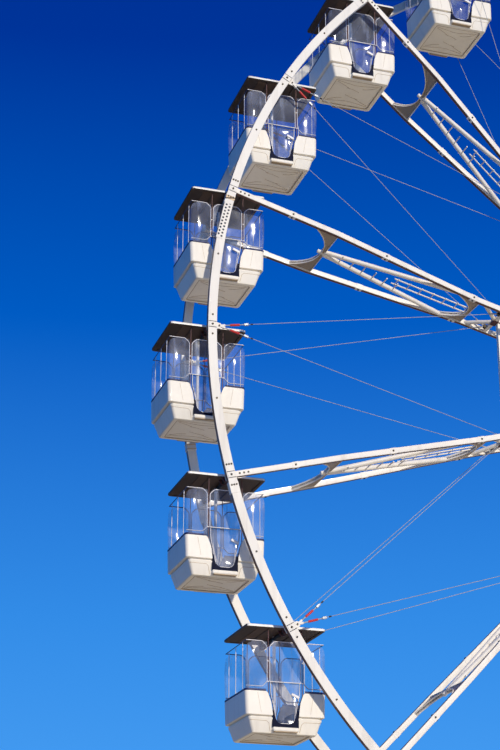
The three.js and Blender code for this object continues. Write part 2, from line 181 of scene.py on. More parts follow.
def weathered(name, colour, grime, streaks=0.35, rough=(0.35, 0.55), grain=60.0, depth=0.002, **constants):
    made = Finish(name, **constants)
    faded = tuple(min(1.0, channel * 1.07) for channel in colour)
    clouds = made.ranged(made.noise(0.8), 0.35, 0.65)
    runs = made.ranged(made.noise(5.0, stretch=(1, 1, 0.1)), 0.52, 0.8, 0.0, streaks)
    fine = made.noise(grain, detail=2.0)
    made.send(made.mix(runs, made.mix(clouds, colour, faded), grime), "Base Color")
    made.send(made.ranged(fine, 0.3, 0.7, *rough), "Roughness")
    made.relief(fine, 0.25, depth)
    return made.material


print("paint recipe ready")

# %% [markdown]
# The steelwork is cream, and duller where grime has run down. The rims' outermost faces and the side faces
# of the spokes' chords are painted a deep brown as the shade they lie in, and the webs of the cross frames
# get a painted shade between the two.

# %% Paints of the steelwork
GRIME = (0.34, 0.26, 0.18)
RIM_PAINT = weathered("rim_paint", (0.76, 0.71, 0.62), GRIME, rough=(0.45, 0.6), Coat_Weight=0.05)
SHADE_SIDE_BROWN = weathered("shade_side_brown", (0.15, 0.07, 0.04), GRIME, streaks=0.5)
SPOKE_PAINT = weathered("spoke_paint", (0.80, 0.74, 0.64), GRIME, Coat_Weight=0.1)
FRAME_WEB_SHADE = weathered("frame_web_painted_shade", (0.36, 0.285, 0.21), GRIME, streaks=0.5)
TOWER_PAINT = weathered("tower_paint", (0.74, 0.68, 0.58), GRIME, streaks=0.5)
SPLICE_PAINT = weathered("splice_primer", (0.62, 0.42, 0.22), GRIME, streaks=0.6)
print("steel paints ready")

# %% [markdown]
# The cabins are moulded plastic with a soft gloss. Their undersides get a lighter copy of the gelcoat with
# fewer streaks: the lighter tone is painted bounce light. The roof's lining is dark and matt, and its middle
# panel is a little browner.

# %% Finishes of the mouldings
GELCOAT = weathered(
    "cabin_gelcoat", (0.82, 0.755, 0.635), GRIME, streaks=0.2, rough=(0.45, 0.6), grain=25.0, Coat_Weight=0.05
)
UNDERSIDE_PAINTED_LIGHT = weathered(
    "cabin_underside_painted_light", (0.92, 0.84, 0.68), GRIME, streaks=0.1, rough=(0.5, 0.7), grain=40.0
)
ROOF_SKIN = weathered("roof_skin", (0.80, 0.76, 0.68), GRIME, rough=(0.3, 0.5), Coat_Weight=0.2)
LINING_AND_EDGE_SHADE = weathered(
    "roof_lining_and_edge_shade", (0.085, 0.06, 0.045), (0.03, 0.022, 0.018), grain=180.0, rough=(0.6, 0.85)
)
LINING_PANEL = weathered(
    "lining_panel", (0.14, 0.085, 0.05), (0.05, 0.03, 0.02), grain=120.0, rough=(0.5, 0.8)
)
DARK_LINE_SHADE = weathered("painted_shade_lines", (0.42, 0.30, 0.17), GRIME, streaks=0.6, grain=140.0)
print("moulding finishes ready")

# %% [markdown]
# Small parts bring the accents: navy edging and seats, white tubes, dark posts, red cable sleeves. The
# near-black finish hardly shines, or the sun would turn a flat plate grey; behind the rim's perforated strip
# it is painted shade that shows through the holes.

# %% Finishes of small parts
DUST = (0.05, 0.05, 0.06)
NAVY = weathered("navy_edging", (0.012, 0.022, 0.11), DUST, rough=(0.3, 0.5), grain=140.0)
SEAT_BLUE = weathered("seat_moulding", (0.02, 0.035, 0.10), DUST, rough=(0.35, 0.6), grain=220.0)
TUBE_WHITE = weathered("white_tube", (0.78, 0.74, 0.72), GRIME, streaks=0.2, grain=90.0)
POST_DARK = weathered("dark_post", (0.11, 0.035, 0.03), (0.02, 0.02, 0.02), grain=90.0)
SLEEVE_RED = weathered("red_sleeve", (0.55, 0.02, 0.015), (0.15, 0.02, 0.01), grain=100.0, rough=(0.3, 0.5))
DRIVE_GREY = weathered("drive_grey", (0.16, 0.18, 0.19), (0.05, 0.04, 0.03), streaks=0.5, grain=80.0)
NEAR_BLACK_AND_SHADE = weathered(
    "near_black_and_painted_shade", (0.007, 0.009, 0.026), (0.03, 0.028, 0.03), rough=(0.7, 0.95), grain=150.0,
    Specular_IOR_Level=0.15,
)
print("painted finishes", len(bpy.data.materials))

# %% [markdown]
# Bare metals: galvanised steel shows flat crystals of zinc, so its tone comes from Voronoi cells. Cable
# and bolts are darker, with oil and rust in the grain.

# %% Metal finishes


def bare_metal(name, light, dark, grain, rough, cells=False, shine=0.9, depth=0.001):
    made = Finish(name, Metallic=shine)
    if cells:
        fleck = made.node("ShaderNodeTexVoronoi", Vector=made.where, Scale=grain).outputs["Color"]
        tone = made.node("ShaderNodeSeparateColor", Color=fleck).outputs["Red"]
    else:
        tone = made.noise(grain)
    made.send(made.mix(made.ranged(tone, 0.2, 0.8), dark, light), "Base Color")
    made.send(made.ranged(made.noise(grain * 2), 0.3, 0.7, *rough), "Roughness")
    made.relief(tone, 0.2, depth)
    return made.material


CABLE_STEEL = bare_metal(
    "cable_steel", (0.42, 0.42, 0.42), (0.30, 0.30, 0.31), 2.0, (0.5, 0.6), shine=0.2, depth=0.0001
)
BOLT_STEEL = bare_metal("bolt_steel", (0.10, 0.085, 0.07), (0.03, 0.025, 0.02), 70.0, (0.45, 0.7))
ZINC = bare_metal("galvanised", (0.52, 0.54, 0.55), (0.34, 0.35, 0.37), 45.0, (0.4, 0.6), cells=True)
print("metals ready")

# %% [markdown]
# The clear walls are scratched plastic sheet. Full refraction would darken the cabins, because light has
# to pass two walls, so the sheet is a thin glossy skin with little opacity. Upright streaks of haze and a
# few scratches raise that opacity where hands and rain have worked on it.

# %% Clear sheet


def clear_sheet():
    made = Finish("clear_sheet", Roughness=0.09, Specular_IOR_Level=1.0, Coat_Weight=0.6, Coat_Roughness=0.05)
    streak = made.noise(7.0, stretch=(1, 1, 0.1))
    cloud = made.noise(2.0)
    haze = made.node("ShaderNodeMath", Value=made.ranged(streak, 0.55, 0.8, 0.0, 0.35))
    haze.operation = "ADD"
    made.links.new(made.ranged(cloud, 0.4, 0.75, 0.09, 0.2), haze.inputs[1])
    made.send(haze.outputs["Value"], "Alpha")
    made.send(made.mix(made.ranged(cloud, 0.35, 0.65), (0.30, 0.36, 0.52), (0.50, 0.54, 0.66)), "Base Color")
    made.relief(made.noise(1.6, detail=1.0), 0.6, 0.05)
    return made.material


CLEAR = clear_sheet()
print("clear sheet ready")

# %% [markdown]
# Shapes are small bmeshes. Each helper starts from one bmesh operator and returns a shape; stack() copies
# shapes into a piece, wherever they are repeated, and gives them the number of their finish.

# %% Stacking shapes into pieces


def stack(target, shape, *places, paint=0):
    """Copies a shape into a piece, once for each place. A paint of None keeps the shape's own"""
    copy = bpy.data.meshes.new("shape")
    shape.to_mesh(copy)
    if paint is not None:
        copy.polygons.foreach_set("material_index", [paint] * len(copy.polygons))
    for place in places or (Matrix.Identity(4),):
        copy.transform(place)
        target.from_mesh(copy)
        copy.transform(place.inverted())
    bpy.data.meshes.remove(copy)
    return target


def mesh_of(shape, name, finishes, smooth=50):
    """A finished mesh: outward faces, soft shading and crisp edges"""
    bmesh.ops.recalc_face_normals(shape, faces=shape.faces)
    made = bpy.data.meshes.new(name)
    shape.to_mesh(made)
    made.polygons.foreach_set("use_smooth", [True] * len(made.polygons))
    made.set_sharp_from_angle(angle=math.radians(smooth))
    for finish in finishes:
        made.materials.append(finish)
    return made


print("shapes stack into pieces")

# %% [markdown]
# One helper puts a piece on its body and hides the CAD nodes it stands for, and keeps flat faces flat.

# %% Putting pieces on the frame


def piece(name, mesh, body, slot, *nodes):
    """Puts a mesh in the scene, riding on its body and standing for its CAD nodes"""
    made = bpy.data.objects.new(name, mesh)
    bpy.context.scene.collection.objects.link(made)
    flats = made.modifiers.new("flats stay flat", "WEIGHTED_NORMAL")
    flats.keep_sharp = True
    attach(made, body)
    if nodes:
        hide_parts(*nodes)
    return made


def shaped_piece(name, shape, finishes, body, slot, *nodes):
    """A piece straight from its shape"""
    return piece(name, mesh_of(shape, name, finishes), body, slot, *nodes)


print("pieces can ride")

# %% [markdown]
# Two helpers cover most flat steelwork: a straight box section between two points, and a flat plate cut
# from an outline. Both get eased edges, because a real edge always catches a line of light.

# %% Bars and plates


def moved(out, kind):
    return [item for item in out["geom"] if isinstance(item, kind)]


def axes(start, end, across=(0, 1, 0)):
    """The frame of a bar: X lies near the across direction, Y runs along, and the origin is halfway"""
    start, end = Vector(start), Vector(end)
    along = (end - start).normalized()
    side = (Vector(across) - along * along.dot(across)).normalized()
    turn = Matrix((side, along, side.cross(along))).transposed().to_4x4()
    return Matrix.Translation((start + end) / 2) @ turn


def box(low, high, edge=0.006, steps=2):
    """A box section between two corners, with eased edges"""
    shape = bmesh.new()
    low, high = Vector(low), Vector(high)
    size = Matrix.Diagonal((*(high - low), 1))
    bmesh.ops.create_cube(shape, size=1, matrix=Matrix.Translation((low + high) / 2) @ size)
    bmesh.ops.bevel(
        shape, geom=shape.edges, offset=edge, segments=steps, affect="EDGES", profile=0.5, material=-1
    )
    return shape


def bar(start, end, width, depth, across=(0, 1, 0), edge=0.006, steps=2):
    """A straight box section between two points"""
    half = (Vector(end) - Vector(start)).length / 2
    shape = box((-width / 2, -half, -depth / 2), (width / 2, half, depth / 2), edge, steps)
    bmesh.ops.transform(shape, matrix=axes(start, end, across), verts=shape.verts)
    return shape


def outline_face(outline, rounded=(), radius=0.05, steps=4):
    """A flat face in the X-Y plane. The corners whose numbers are listed are rounded"""
    shape = bmesh.new()
    corners = [shape.verts.new((x, y, 0)) for x, y in outline]
    shape.faces.new(corners)
    if rounded:
        bmesh.ops.bevel(
            shape, geom=[corners[k] for k in rounded], offset=radius, segments=steps,
            affect="VERTICES", profile=0.5, material=-1,
        )
    return shape


def plate(outline, thickness, edge=0.003, rounded=(), radius=0.05, steps=4):
    """A plate in the X-Y plane, centred on its thickness"""
    shape = outline_face(outline, rounded, radius, steps)
    bmesh.ops.translate(shape, vec=(0, 0, -thickness / 2), verts=shape.verts)
    out = bmesh.ops.extrude_face_region(shape, geom=shape.faces[:])
    bmesh.ops.translate(shape, vec=(0, 0, thickness), verts=moved(out, bmesh.types.BMVert))
    if edge:
        rims = [e for e in shape.edges if abs(e.verts[0].co.z - e.verts[1].co.z) < thickness / 2]
        bmesh.ops.bevel(shape, geom=rims, offset=edge, segments=1, affect="EDGES", profile=0.5, material=-1)
    return shape


print("bars and plates ready")

# %% [markdown]
# A round tube follows a path. It starts as a circle whose edge is extruded from station to station, as a
# bender would draw it, and the corners of its path are short curves.

# %% Tubes along a path


def stations(path, closed=False):
    """The frame of a tube's ring at each point of its path, carried along without twist"""
    points = [Vector(p) for p in path]
    count = len(points)
    frames, turn, before = [], None, None
    for k, here in enumerate(points):
        back = points[k - 1] if k or closed else here
        ahead = points[(k + 1) % count] if k < count - 1 or closed else here
        along = (ahead - back).normalized()
        turn = along.to_track_quat("Z", "Y") if turn is None else before.rotation_difference(along) @ turn
        before = along
        frames.append(Matrix.Translation(here) @ turn.to_matrix().to_4x4())
    return frames


def tube(path, radius, sides=8, closed=False):
    """A round tube along a path, closed into a loop or capped at both ends"""
    shape = bmesh.new()
    frames = stations(path, closed)
    bmesh.ops.create_circle(shape, cap_ends=False, radius=radius, segments=sides, matrix=frames[0])
    first = ring = shape.edges[:]
    for before, after in zip(frames, frames[1:]):
        out = bmesh.ops.extrude_edge_only(shape, edges=ring)
        verts = set(moved(out, bmesh.types.BMVert))
        ring = [e for e in moved(out, bmesh.types.BMEdge) if verts.issuperset(e.verts)]
        bmesh.ops.transform(shape, matrix=after @ before.inverted(), verts=list(verts))
    if closed:
        bmesh.ops.bridge_loops(shape, edges=[*first, *ring])
    else:
        bmesh.ops.edgeloop_fill(shape, edges=first)
        bmesh.ops.edgeloop_fill(shape, edges=ring)
    return shape


def rod(start, end, radius, sides=12):
    return tube([start, end], radius, sides)


def rounded_path(corners, radius, closed=False, steps=4):
    """A path whose corners are replaced by short curves"""
    points = [Vector(p) for p in corners]
    path = []
    for k, here in enumerate(points):
        if not closed and k in (0, len(points) - 1):
            path.append(here)
            continue
        ends = [here + (points[j % len(points)] - here).normalized() * radius for j in (k - 1, k + 1)]
        handles = [end.lerp(here, 0.55) for end in ends]
        path += interpolate_bezier(ends[0], handles[0], handles[1], ends[1], steps + 1)
    return path


print("tubes ready")

# %% [markdown]
# Flanges, caps and housings are turned on a lathe in reality, and here too: a profile is spun about an
# axis. A bolt is a hexagon head whose foot sinks a little into what it holds. Bolts take the second finish of
# the steel piece that they sit on, and finishes count from 0.

# %% Turned bodies and bolts
BOLTS = 1


def turned(profile, steps, axis="Y"):
    """A closed body turned about an axis through the origin, from points of [radius, place on the axis]"""
    shape = bmesh.new()
    points = [shape.verts.new((r, y, 0) if axis == "Y" else (r, 0, y)) for r, y in profile]
    edges = [shape.edges.new(pair) for pair in zip(points, points[1:])]
    around = (0, 1, 0) if axis == "Y" else (0, 0, 1)
    bmesh.ops.spin(
        shape, geom=[*points, *edges], cent=(0, 0, 0), axis=around, angle=2 * math.pi, steps=steps,
        use_merge=True, dvec=(0, 0, 0), use_normal_flip=False, use_duplicate=False,
    )
    bmesh.ops.remove_doubles(shape, verts=shape.verts, dist=1e-5)
    return shape


def facing(direction, at):
    """Takes a shape that stands on the X-Y plane to a place, with its +Z towards a direction"""
    return Matrix.Translation(at) @ Vector(direction).to_track_quat("Z", "Y").to_matrix().to_4x4()


def bolt(radius=0.018, height=0.012):
    """A hexagon head standing on the X-Y plane, with its foot a little below it"""
    shape = bmesh.new()
    bmesh.ops.create_cone(
        shape, cap_ends=True, segments=6, radius1=radius, radius2=radius * 0.86, depth=height * 2
    )
    return shape


print("turned bodies and bolts ready")

# %% [markdown]
# Holes are Boolean cuts. They're made once on a plain shape, before it is copied anywhere.

# %% Cuts


def cut(shape, cutter, paint=0):
    """Cuts one shape out of another. The cut faces get the number of their finish"""
    bmesh.ops.recalc_face_normals(shape, faces=shape.faces)
    bmesh.ops.recalc_face_normals(cutter, faces=cutter.faces)
    meshes = [bpy.data.meshes.new(name) for name in ("body", "cutter")]
    for each, mesh in zip((shape, cutter), meshes):
        each.to_mesh(mesh)
        mesh.materials.append(None)
        mesh.materials.append(None)
    meshes[1].polygons.foreach_set("material_index", [paint] * len(meshes[1].polygons))
    things = [bpy.data.objects.new(mesh.name, mesh) for mesh in meshes]
    for thing in things:
        bpy.context.scene.collection.objects.link(thing)
    boolean = things[0].modifiers.new("cut", "BOOLEAN")
    boolean.operation, boolean.solver, boolean.object = "DIFFERENCE", "EXACT", things[1]
    result = bmesh.new()
    result.from_mesh(things[0].evaluated_get(bpy.context.evaluated_depsgraph_get()).to_mesh())
    for thing, mesh in zip(things, meshes):
        bpy.data.objects.remove(thing)
        bpy.data.meshes.remove(mesh)
    return result


print("cuts ready")

# %% [markdown]
# ## The wheel
# Each rim is a rolled box tube. A rounded rectangle spun about the axle gives it in one operation, and is
# rounder than the facets of the solid behind it.

# %% Rims
RIM_FINISHES = [RIM_PAINT, BOLT_STEEL, SPLICE_PAINT, NEAR_BLACK_AND_SHADE, SHADE_SIDE_BROWN]
RIM_PRIMER, RIM_NEAR_BLACK_AND_SHADE, RIM_SHADE_SIDE = 2, 3, 4

rim_profile = outline_face([(-1, -1), (1, -1), (1, 1), (-1, 1)], rounded=range(4), radius=0.09, steps=2)
bmesh.ops.scale(rim_profile, vec=(RIM_DEPTH / 2, RIM_WIDTH / 2, 1), verts=rim_profile.verts)
bmesh.ops.delete(rim_profile, geom=rim_profile.faces[:], context="FACES_ONLY")
bmesh.ops.translate(rim_profile, vec=(WHEEL_RADIUS, 0, 0), verts=rim_profile.verts)
bmesh.ops.spin(
    rim_profile, geom=[*rim_profile.verts, *rim_profile.edges], cent=(0, 0, 0), axis=(0, 1, 0),
    angle=2 * math.pi, steps=288, use_merge=True, dvec=(0, 0, 0), use_normal_flip=False, use_duplicate=False,
)
for face in rim_profile.faces:
    middle = face.calc_center_median()
    # The rim's outermost faces are painted deep brown as their shade.
    if math.hypot(middle.x, middle.z) > WHEEL_RADIUS + 0.49 * RIM_DEPTH:
        face.material_index = RIM_SHADE_SIDE
print("rim tube", len(rim_profile.faces), "faces")

# %% [markdown]
# One section of the front rim is perforated. The holes are drilled once through a strip that lies on the
# tube, in two staggered rows.

# %% Perforated strip
STRIP_LENGTH, STRIP_WIDTH, STRIP_HALF_THICKNESS = 1.12, RIM_DEPTH - 0.05, 0.004
HOLES, HOLE_RADIUS, STRIP_END = 11, 0.027, 0.04
HOLE_ROWS = ((0.045, 0.25), (-0.04, 0.7))


def perforated_strip():
    """A strip along Z. Each row of holes has its place across and its share of the pitch along"""
    plain = box(
        (-STRIP_WIDTH / 2, -STRIP_HALF_THICKNESS, 0), (STRIP_WIDTH / 2, STRIP_HALF_THICKNESS, STRIP_LENGTH),
        edge=0.001, steps=1,
    )
    drills = bmesh.new()
    drill = rod((0, -0.05, 0), (0, 0.05, 0), HOLE_RADIUS, sides=12)
    pitch = (STRIP_LENGTH - 2 * STRIP_END) / HOLES
    for k in range(HOLES):
        for across, share in HOLE_ROWS:
            stack(drills, drill, place_at(across, 0, STRIP_END + pitch * (k + share)))
    return cut(plain, drills)


strip = perforated_strip()
print("perforated strip", len(strip.faces), "faces")

# %% [markdown]
# At every cabin the rim carries a bearing block on its inner side and an end plate on its outer side, with
# a dark gap above and below. Beside the spokes the rim sections are joined by bolted sleeves.

# %% Rims dressed
OUTSIDE = RIM_HALF_SPACING + RIM_WIDTH / 2
JOINT_ARC = 0.25 / WHEEL_RADIUS
GAP_RISE, SLEEVE_RISE = 0.075, 0.31


def dressed_rim(side):
    made = bmesh.new()
    stack(made, rim_profile, HUB @ place_at(y=side * RIM_HALF_SPACING), paint=None)
    face = mirrored(y=side)
    bearing = box((-0.075, 0.985, -0.075), (0.075, RIM_HALF_SPACING - 0.03, 0.075), edge=0.012)
    end_plate = box((-0.085, OUTSIDE - 0.004, -0.06), (0.085, OUTSIDE + 0.008, 0.06), edge=0.004, steps=1)
    gap = box((-0.10, OUTSIDE - 0.004, -0.007), (0.10, OUTSIDE + 0.003, 0.007), edge=0.001, steps=1)
    cap = turned([(0, 0.022), (0.022, 0.02), (0.028, 0.0), (0.028, -0.01), (0, -0.01)], 16)
    sleeve = box((-0.118, RIM_HALF_SPACING - 0.076, -0.14), (0.118, OUTSIDE + 0.006, 0.14), edge=0.012)
    head = bolt(0.026, 0.012)
    outward = facing((0, 1, 0), (0, 0, 0))
    for k in range(CABINS):
        joint = wheel_turn(k * STEP) @ place_at(WHEEL_RADIUS) @ face
        stack(made, bearing, joint)
        stack(made, cap, joint @ place_at(y=OUTSIDE + 0.008), paint=BOLTS)
        stack(made, end_plate, joint)
        stack(made, gap, *(joint @ place_at(z=end * GAP_RISE) for end in SIDES), paint=RIM_NEAR_BLACK_AND_SHADE)
        heads = [(turn, 0.0) for turn in (-JOINT_ARC, JOINT_ARC, STEP / 2)]
        if k % 2:
            stack(made, sleeve, joint @ place_at(z=SLEEVE_RISE))
            heads += [(end * JOINT_ARC, x) for end in SIDES for x in (-0.06, 0.06)]
        for turn, x in heads:
            at = wheel_turn(k * STEP + turn) @ face @ place_at(WHEEL_RADIUS + x, OUTSIDE + 0.006)
            stack(made, head, at @ outward, paint=BOLTS)
    return made


rim_front, rim_back = (dressed_rim(side) for side in SIDES)
print("rims", len(rim_front.faces), len(rim_back.faces))

# %% [markdown]
# The front rim also gets the perforated strip, over a near-black backing that is painted shade showing
# through its holes, and a primed bracket with a strap where the strip begins.

# %% Front rim
STRIP_ANGLE, BRACKET_ANGLE = math.radians(166.35), math.radians(166.1)

strip_turn = wheel_turn(STRIP_ANGLE)
stack(rim_front, strip, strip_turn @ place_at(WHEEL_RADIUS, -OUTSIDE - STRIP_HALF_THICKNESS))
# The backing is painted shade, seen through the holes.
backing = box((-0.08, -0.001, 0.02), (0.08, 0.0015, 1.10), edge=0.0005, steps=1)
stack(rim_front, backing, strip_turn @ place_at(WHEEL_RADIUS, -OUTSIDE - 0.001), paint=RIM_NEAR_BLACK_AND_SHADE)
bracket = box((-0.118, -0.012, -0.055), (0.118, 0.15, 0.055), edge=0.008)
bracket_place = wheel_turn(BRACKET_ANGLE) @ place_at(WHEEL_RADIUS, -OUTSIDE)
stack(rim_front, bracket, bracket_place, paint=RIM_PRIMER)
strap = bar((-0.125, -0.014, -0.03), (0.125, -0.014, 0.06), 0.02, 0.02, edge=0.003)
stack(rim_front, strap, bracket_place, paint=RIM_NEAR_BLACK_AND_SHADE)
shaped_piece("rim_front_tube", rim_front, RIM_FINISHES, "wheel", "wheel_paint", "rim_front")
print("front rim", len(rim_front.faces), "faces")

# %% [markdown]
# Two collars with primed bands clamp the back rim where its sections meet.

# %% Back rim
COLLAR_ANGLES = (math.radians(189.1), math.radians(170.9))

collar = box((-0.122, RIM_HALF_SPACING - 0.082, -0.10), (0.122, OUTSIDE + 0.01, 0.10), edge=0.012)
for angle in COLLAR_ANGLES:
    place = wheel_turn(angle) @ place_at(WHEEL_RADIUS)
    stack(rim_back, collar, place)
    for z in (-0.06, 0.05):
        low, high = (-0.124, RIM_HALF_SPACING - 0.084, z - 0.012), (0.124, OUTSIDE + 0.012, z + 0.012)
        stack(rim_back, box(low, high, edge=0.003), place, paint=RIM_PRIMER)
shaped_piece("rim_back_tube", rim_back, RIM_FINISHES, "wheel", "wheel_paint", "rim_back")
print("back rim", len(rim_back.faces), "faces")

# %% [markdown]
# A spoke is a flat ladder truss. Its two chords spread towards the rim. Two hollowed frames cross between
# them, each a thin web with a flange along its curved edge, and a pair of round tubes runs from the outer
# frame's middle to the chords. It is drawn once along +X and turned to its twelve places.

# %% Chords
SPOKE_FINISHES = [SPOKE_PAINT, BOLT_STEEL, POST_DARK, FRAME_WEB_SHADE, SHADE_SIDE_BROWN]
SPOKE_DARK, SPOKE_WEB_SHADE, SPOKE_SHADE_SIDE = 2, 3, 4
CHORD_WIDTH, CHORD_DEPTH = 0.12, 0.14
OUTER_FRAME, INNER_FRAME, ANCHOR_BEAM, INNER_RUNG = 11.5, 7.32, 6.5, 3.7
BRACE_FOOT = 7.75
CHORD_STATIONS = [(0.9003, 0.6), (INNER_FRAME, 0.65), (OUTER_FRAME, 1.1), (14.2897, RIM_HALF_SPACING)]


def chord_y(radius):
    """Where a chord's middle line lies at a given radius"""
    spans = zip(CHORD_STATIONS, CHORD_STATIONS[1:])
    (r0, y0), (r1, y1) = next((a, b) for a, b in spans if radius <= b[0])
    return y0 + (y1 - y0) * (radius - r0) / (r1 - r0)


def chord():
    near = [(r, y - CHORD_WIDTH / 2) for r, y in CHORD_STATIONS]
    far = [(r, y + CHORD_WIDTH / 2) for r, y in reversed(CHORD_STATIONS)]
    shape = plate(near + far, CHORD_DEPTH, edge=0.012)
    for face in shape.faces:
        # The chord's side faces are painted deep brown as their shade.
        if abs(face.calc_center_median().z) > 0.49 * CHORD_DEPTH:
            face.material_index = SPOKE_SHADE_SIDE
    return shape


print("chord spread at the rim", round(2 * chord_y(14.2), 3))

# %% [markdown]
# Each cross frame is a thin web with flanges on its straight and its hollowed edge. The hollow is a power
# curve, flat in the middle and steep beside the chords, so it looks cut with a torch along a template.

# %% Hollowed frames
WEB_BACK, FLANGE = 0.055, 0.018


def hollow_edge(radius, run, points=14):
    """The hollowed side of a cross frame, from chord to chord"""
    shares = [1 - 2 * k / points for k in range(points + 1)]
    curve = [(radius + WEB_BACK + run * abs(s) ** 2.6, s) for s in shares]
    return [(r, s * (chord_y(r) - 0.03)) for r, s in curve]


def hollow_frame(radius, run):
    """Web, curved flange and straight flange of a cross frame"""
    made = bmesh.new()
    curve = hollow_edge(radius, run)
    back = radius - WEB_BACK
    web = plate([(back, -chord_y(back)), *reversed(curve), (back, chord_y(back))], 0.05)
    # The web is painted a darker brown as its shade.
    stack(made, web, paint=SPOKE_WEB_SHADE)
    inner = [(r - FLANGE, y) for r, y in reversed(curve)]
    stack(made, plate([*curve, *inner], CHORD_DEPTH - 0.03))
    stack(made, box((back, -chord_y(back), -0.045), (back + FLANGE, chord_y(back), 0.045)))
    return made


outer_frame, inner_frame = hollow_frame(OUTER_FRAME, 0.54), hollow_frame(INNER_FRAME, 0.62)
print("hollowed frames", len(outer_frame.faces), "faces each")

# %% [markdown]
# Of the two tubes one carries hooks, and a little ladder stands inside their V. Nearer the hub four crossed
# pairs of thin braces stiffen the chords, with a plain rung halfway.

# %% Tubes, ladder and braces of a spoke
HOOKS, HOOK_START, HOOK_PITCH, HOOK_LENGTH = 6, 11.0, 0.33, 0.42
RUNGS, RUNG_START, RUNG_PITCH = 6, 9.4, 0.34
LADDER_Y, RUNG_HALF, LADDER_END = 0.13, 0.17, 9.5
BRACE_SPANS = ((1.15, 2.35), (3.55, 2.35), (3.85, 5.1), (6.4, 5.1))


def on_chord(radius, side):
    return (radius, side * chord_y(radius), 0)


def hooks_and_rungs():
    """Hooks on one tube only, each a short bar that reaches across the gap, and the ladder's rungs"""
    made = bmesh.new()
    for k in range(HOOKS):
        radius = HOOK_START - HOOK_PITCH * k
        spread = (OUTER_FRAME - radius) / (OUTER_FRAME - BRACE_FOOT)
        tube_y = 0.06 + spread * (chord_y(BRACE_FOOT) - 0.06)
        stack(made, rod((radius, tube_y - HOOK_LENGTH, 0.03), (radius, tube_y, 0.02), 0.017, sides=8))
    for k in range(RUNGS):
        radius = RUNG_START - RUNG_PITCH * k
        stack(made, rod((radius, -RUNG_HALF, 0), (radius, RUNG_HALF, 0), 0.014, sides=8))
    return made


def spoke_shape():
    made = bmesh.new()
    stack(made, chord(), Matrix.Identity(4), mirrored(y=-1), paint=None)
    stack(made, outer_frame, paint=None)
    stack(made, inner_frame, paint=None)
    stack(made, box((ANCHOR_BEAM, -0.6, -0.05), (ANCHOR_BEAM + 0.1, 0.6, 0.05), edge=0.01))
    stack(made, box((INNER_RUNG - 0.05, -0.6, -0.05), (INNER_RUNG + 0.05, 0.6, 0.05), edge=0.01))
    stack(made, rod((OUTER_FRAME - 0.1, 0, 0), (OUTER_FRAME + 0.15, 0, 0), 0.052, sides=16))
    for side in SIDES:
        start = (OUTER_FRAME - 0.02, side * 0.06, 0)
        stack(made, rod(start, on_chord(BRACE_FOOT, side), 0.062, sides=16))
        stack(made, rod(on_chord(INNER_FRAME - 0.15, side), (ANCHOR_BEAM + 0.06, side * 0.04, 0), 0.052, 14))
        y = side * LADDER_Y
        stack(made, rod((LADDER_END, y, 0), (INNER_FRAME + 0.02, y, 0), 0.019))
        for inner, outer in BRACE_SPANS:
            stack(made, rod(on_chord(inner, side), on_chord(outer, -side), 0.028, sides=8))
    stack(made, hooks_and_rungs())
    stack(made, box((ANCHOR_BEAM - 0.12, -0.06, -0.06), (ANCHOR_BEAM + 0.05, 0.06, 0.06), edge=0.01))
    return made


spoke_bare = spoke_shape()
print("spoke", len(spoke_bare.faces), "faces")

# %% [markdown]
# Straight beams tie the spokes into a ring below the frames. Bolts, sleeves over the chords' splices and
# the dark junction block on the anchor beam finish the spoke.

# %% Spoke fittings and the ring of ties
TIE = 0.12
SLEEVE = 0.008
SLEEVE_RADII, FOOT_BOLT_RADII = (12.75, 10.1, 7.5, 4.9, 2.6), (14.19, 14.08, 13.97)
UP = Vector((0, 0, 1))


def tie_beam():
    """Reaches from this spoke's block to the face of the next one's"""
    middle = ANCHOR_BEAM - TIE / 2
    turn = Matrix.Rotation(-2 * STEP, 3, "Y")
    to = turn @ Vector((middle, 0, 0))
    along = (to - Vector((middle, 0, 0))).normalized()
    stop = to - along * (TIE / 2 + SEAT_GAP) / math.cos(STEP)
    return bar((middle, 0, 0), stop, TIE, TIE - 0.01, edge=0.01)


def spoke_fittings():
    made = bmesh.new()
    head = bolt(0.028, 0.014)
    for side in SIDES:
        for radius in SLEEVE_RADII:
            middle = Vector(on_chord(radius, side))
            along = Vector(on_chord(radius + 0.1, side)) - middle
            ends = middle - along * 0.9, middle + along * 0.9
            stack(made, bar(*ends, CHORD_WIDTH + SLEEVE, CHORD_DEPTH + SLEEVE))
            outward = Vector((-along.y, along.x, 0)).normalized() * side
            for way, depth in ((outward, CHORD_WIDTH), (-UP, CHORD_DEPTH), (UP, CHORD_DEPTH)):
                stack(made, head, facing(way, middle + way * (depth / 2 + SLEEVE)), paint=BOLTS)
        for radius in FOOT_BOLT_RADII:
            y = side * (chord_y(radius) + CHORD_WIDTH / 2)
            stack(made, head, facing((0, side, 0), (radius, y, 0)), paint=BOLTS)
    junction = box((ANCHOR_BEAM - 0.03, -0.13, -0.075), (ANCHOR_BEAM + 0.13, 0.13, 0.075), edge=0.012)
    stack(made, junction, paint=SPOKE_DARK)
    return made


stack(spoke_bare, tie_beam())
stack(spoke_bare, spoke_fittings(), paint=None)
spoke_mesh = mesh_of(spoke_bare, "spoke", SPOKE_FINISHES)
for number in range(1, CABINS // 2 + 1):
    own = spoke_mesh.copy()
    own.transform(wheel_turn((2 * number - 1) * STEP))
    piece(f"spoke_truss_{number:02d}", own, "wheel", "wheel_paint", f"spoke_{number:02d}")
print("spokes", len(spoke_mesh.polygons), "faces each")

# %% [markdown]
# From every second cabin joint, two cables run to the anchor beams of the spokes beside it. Each starts at
# a fork on the lug, passes a red turnbuckle sleeve and a clamp, and ends at a block on the beam. They hold
# the rim true, so they are structure and straight.

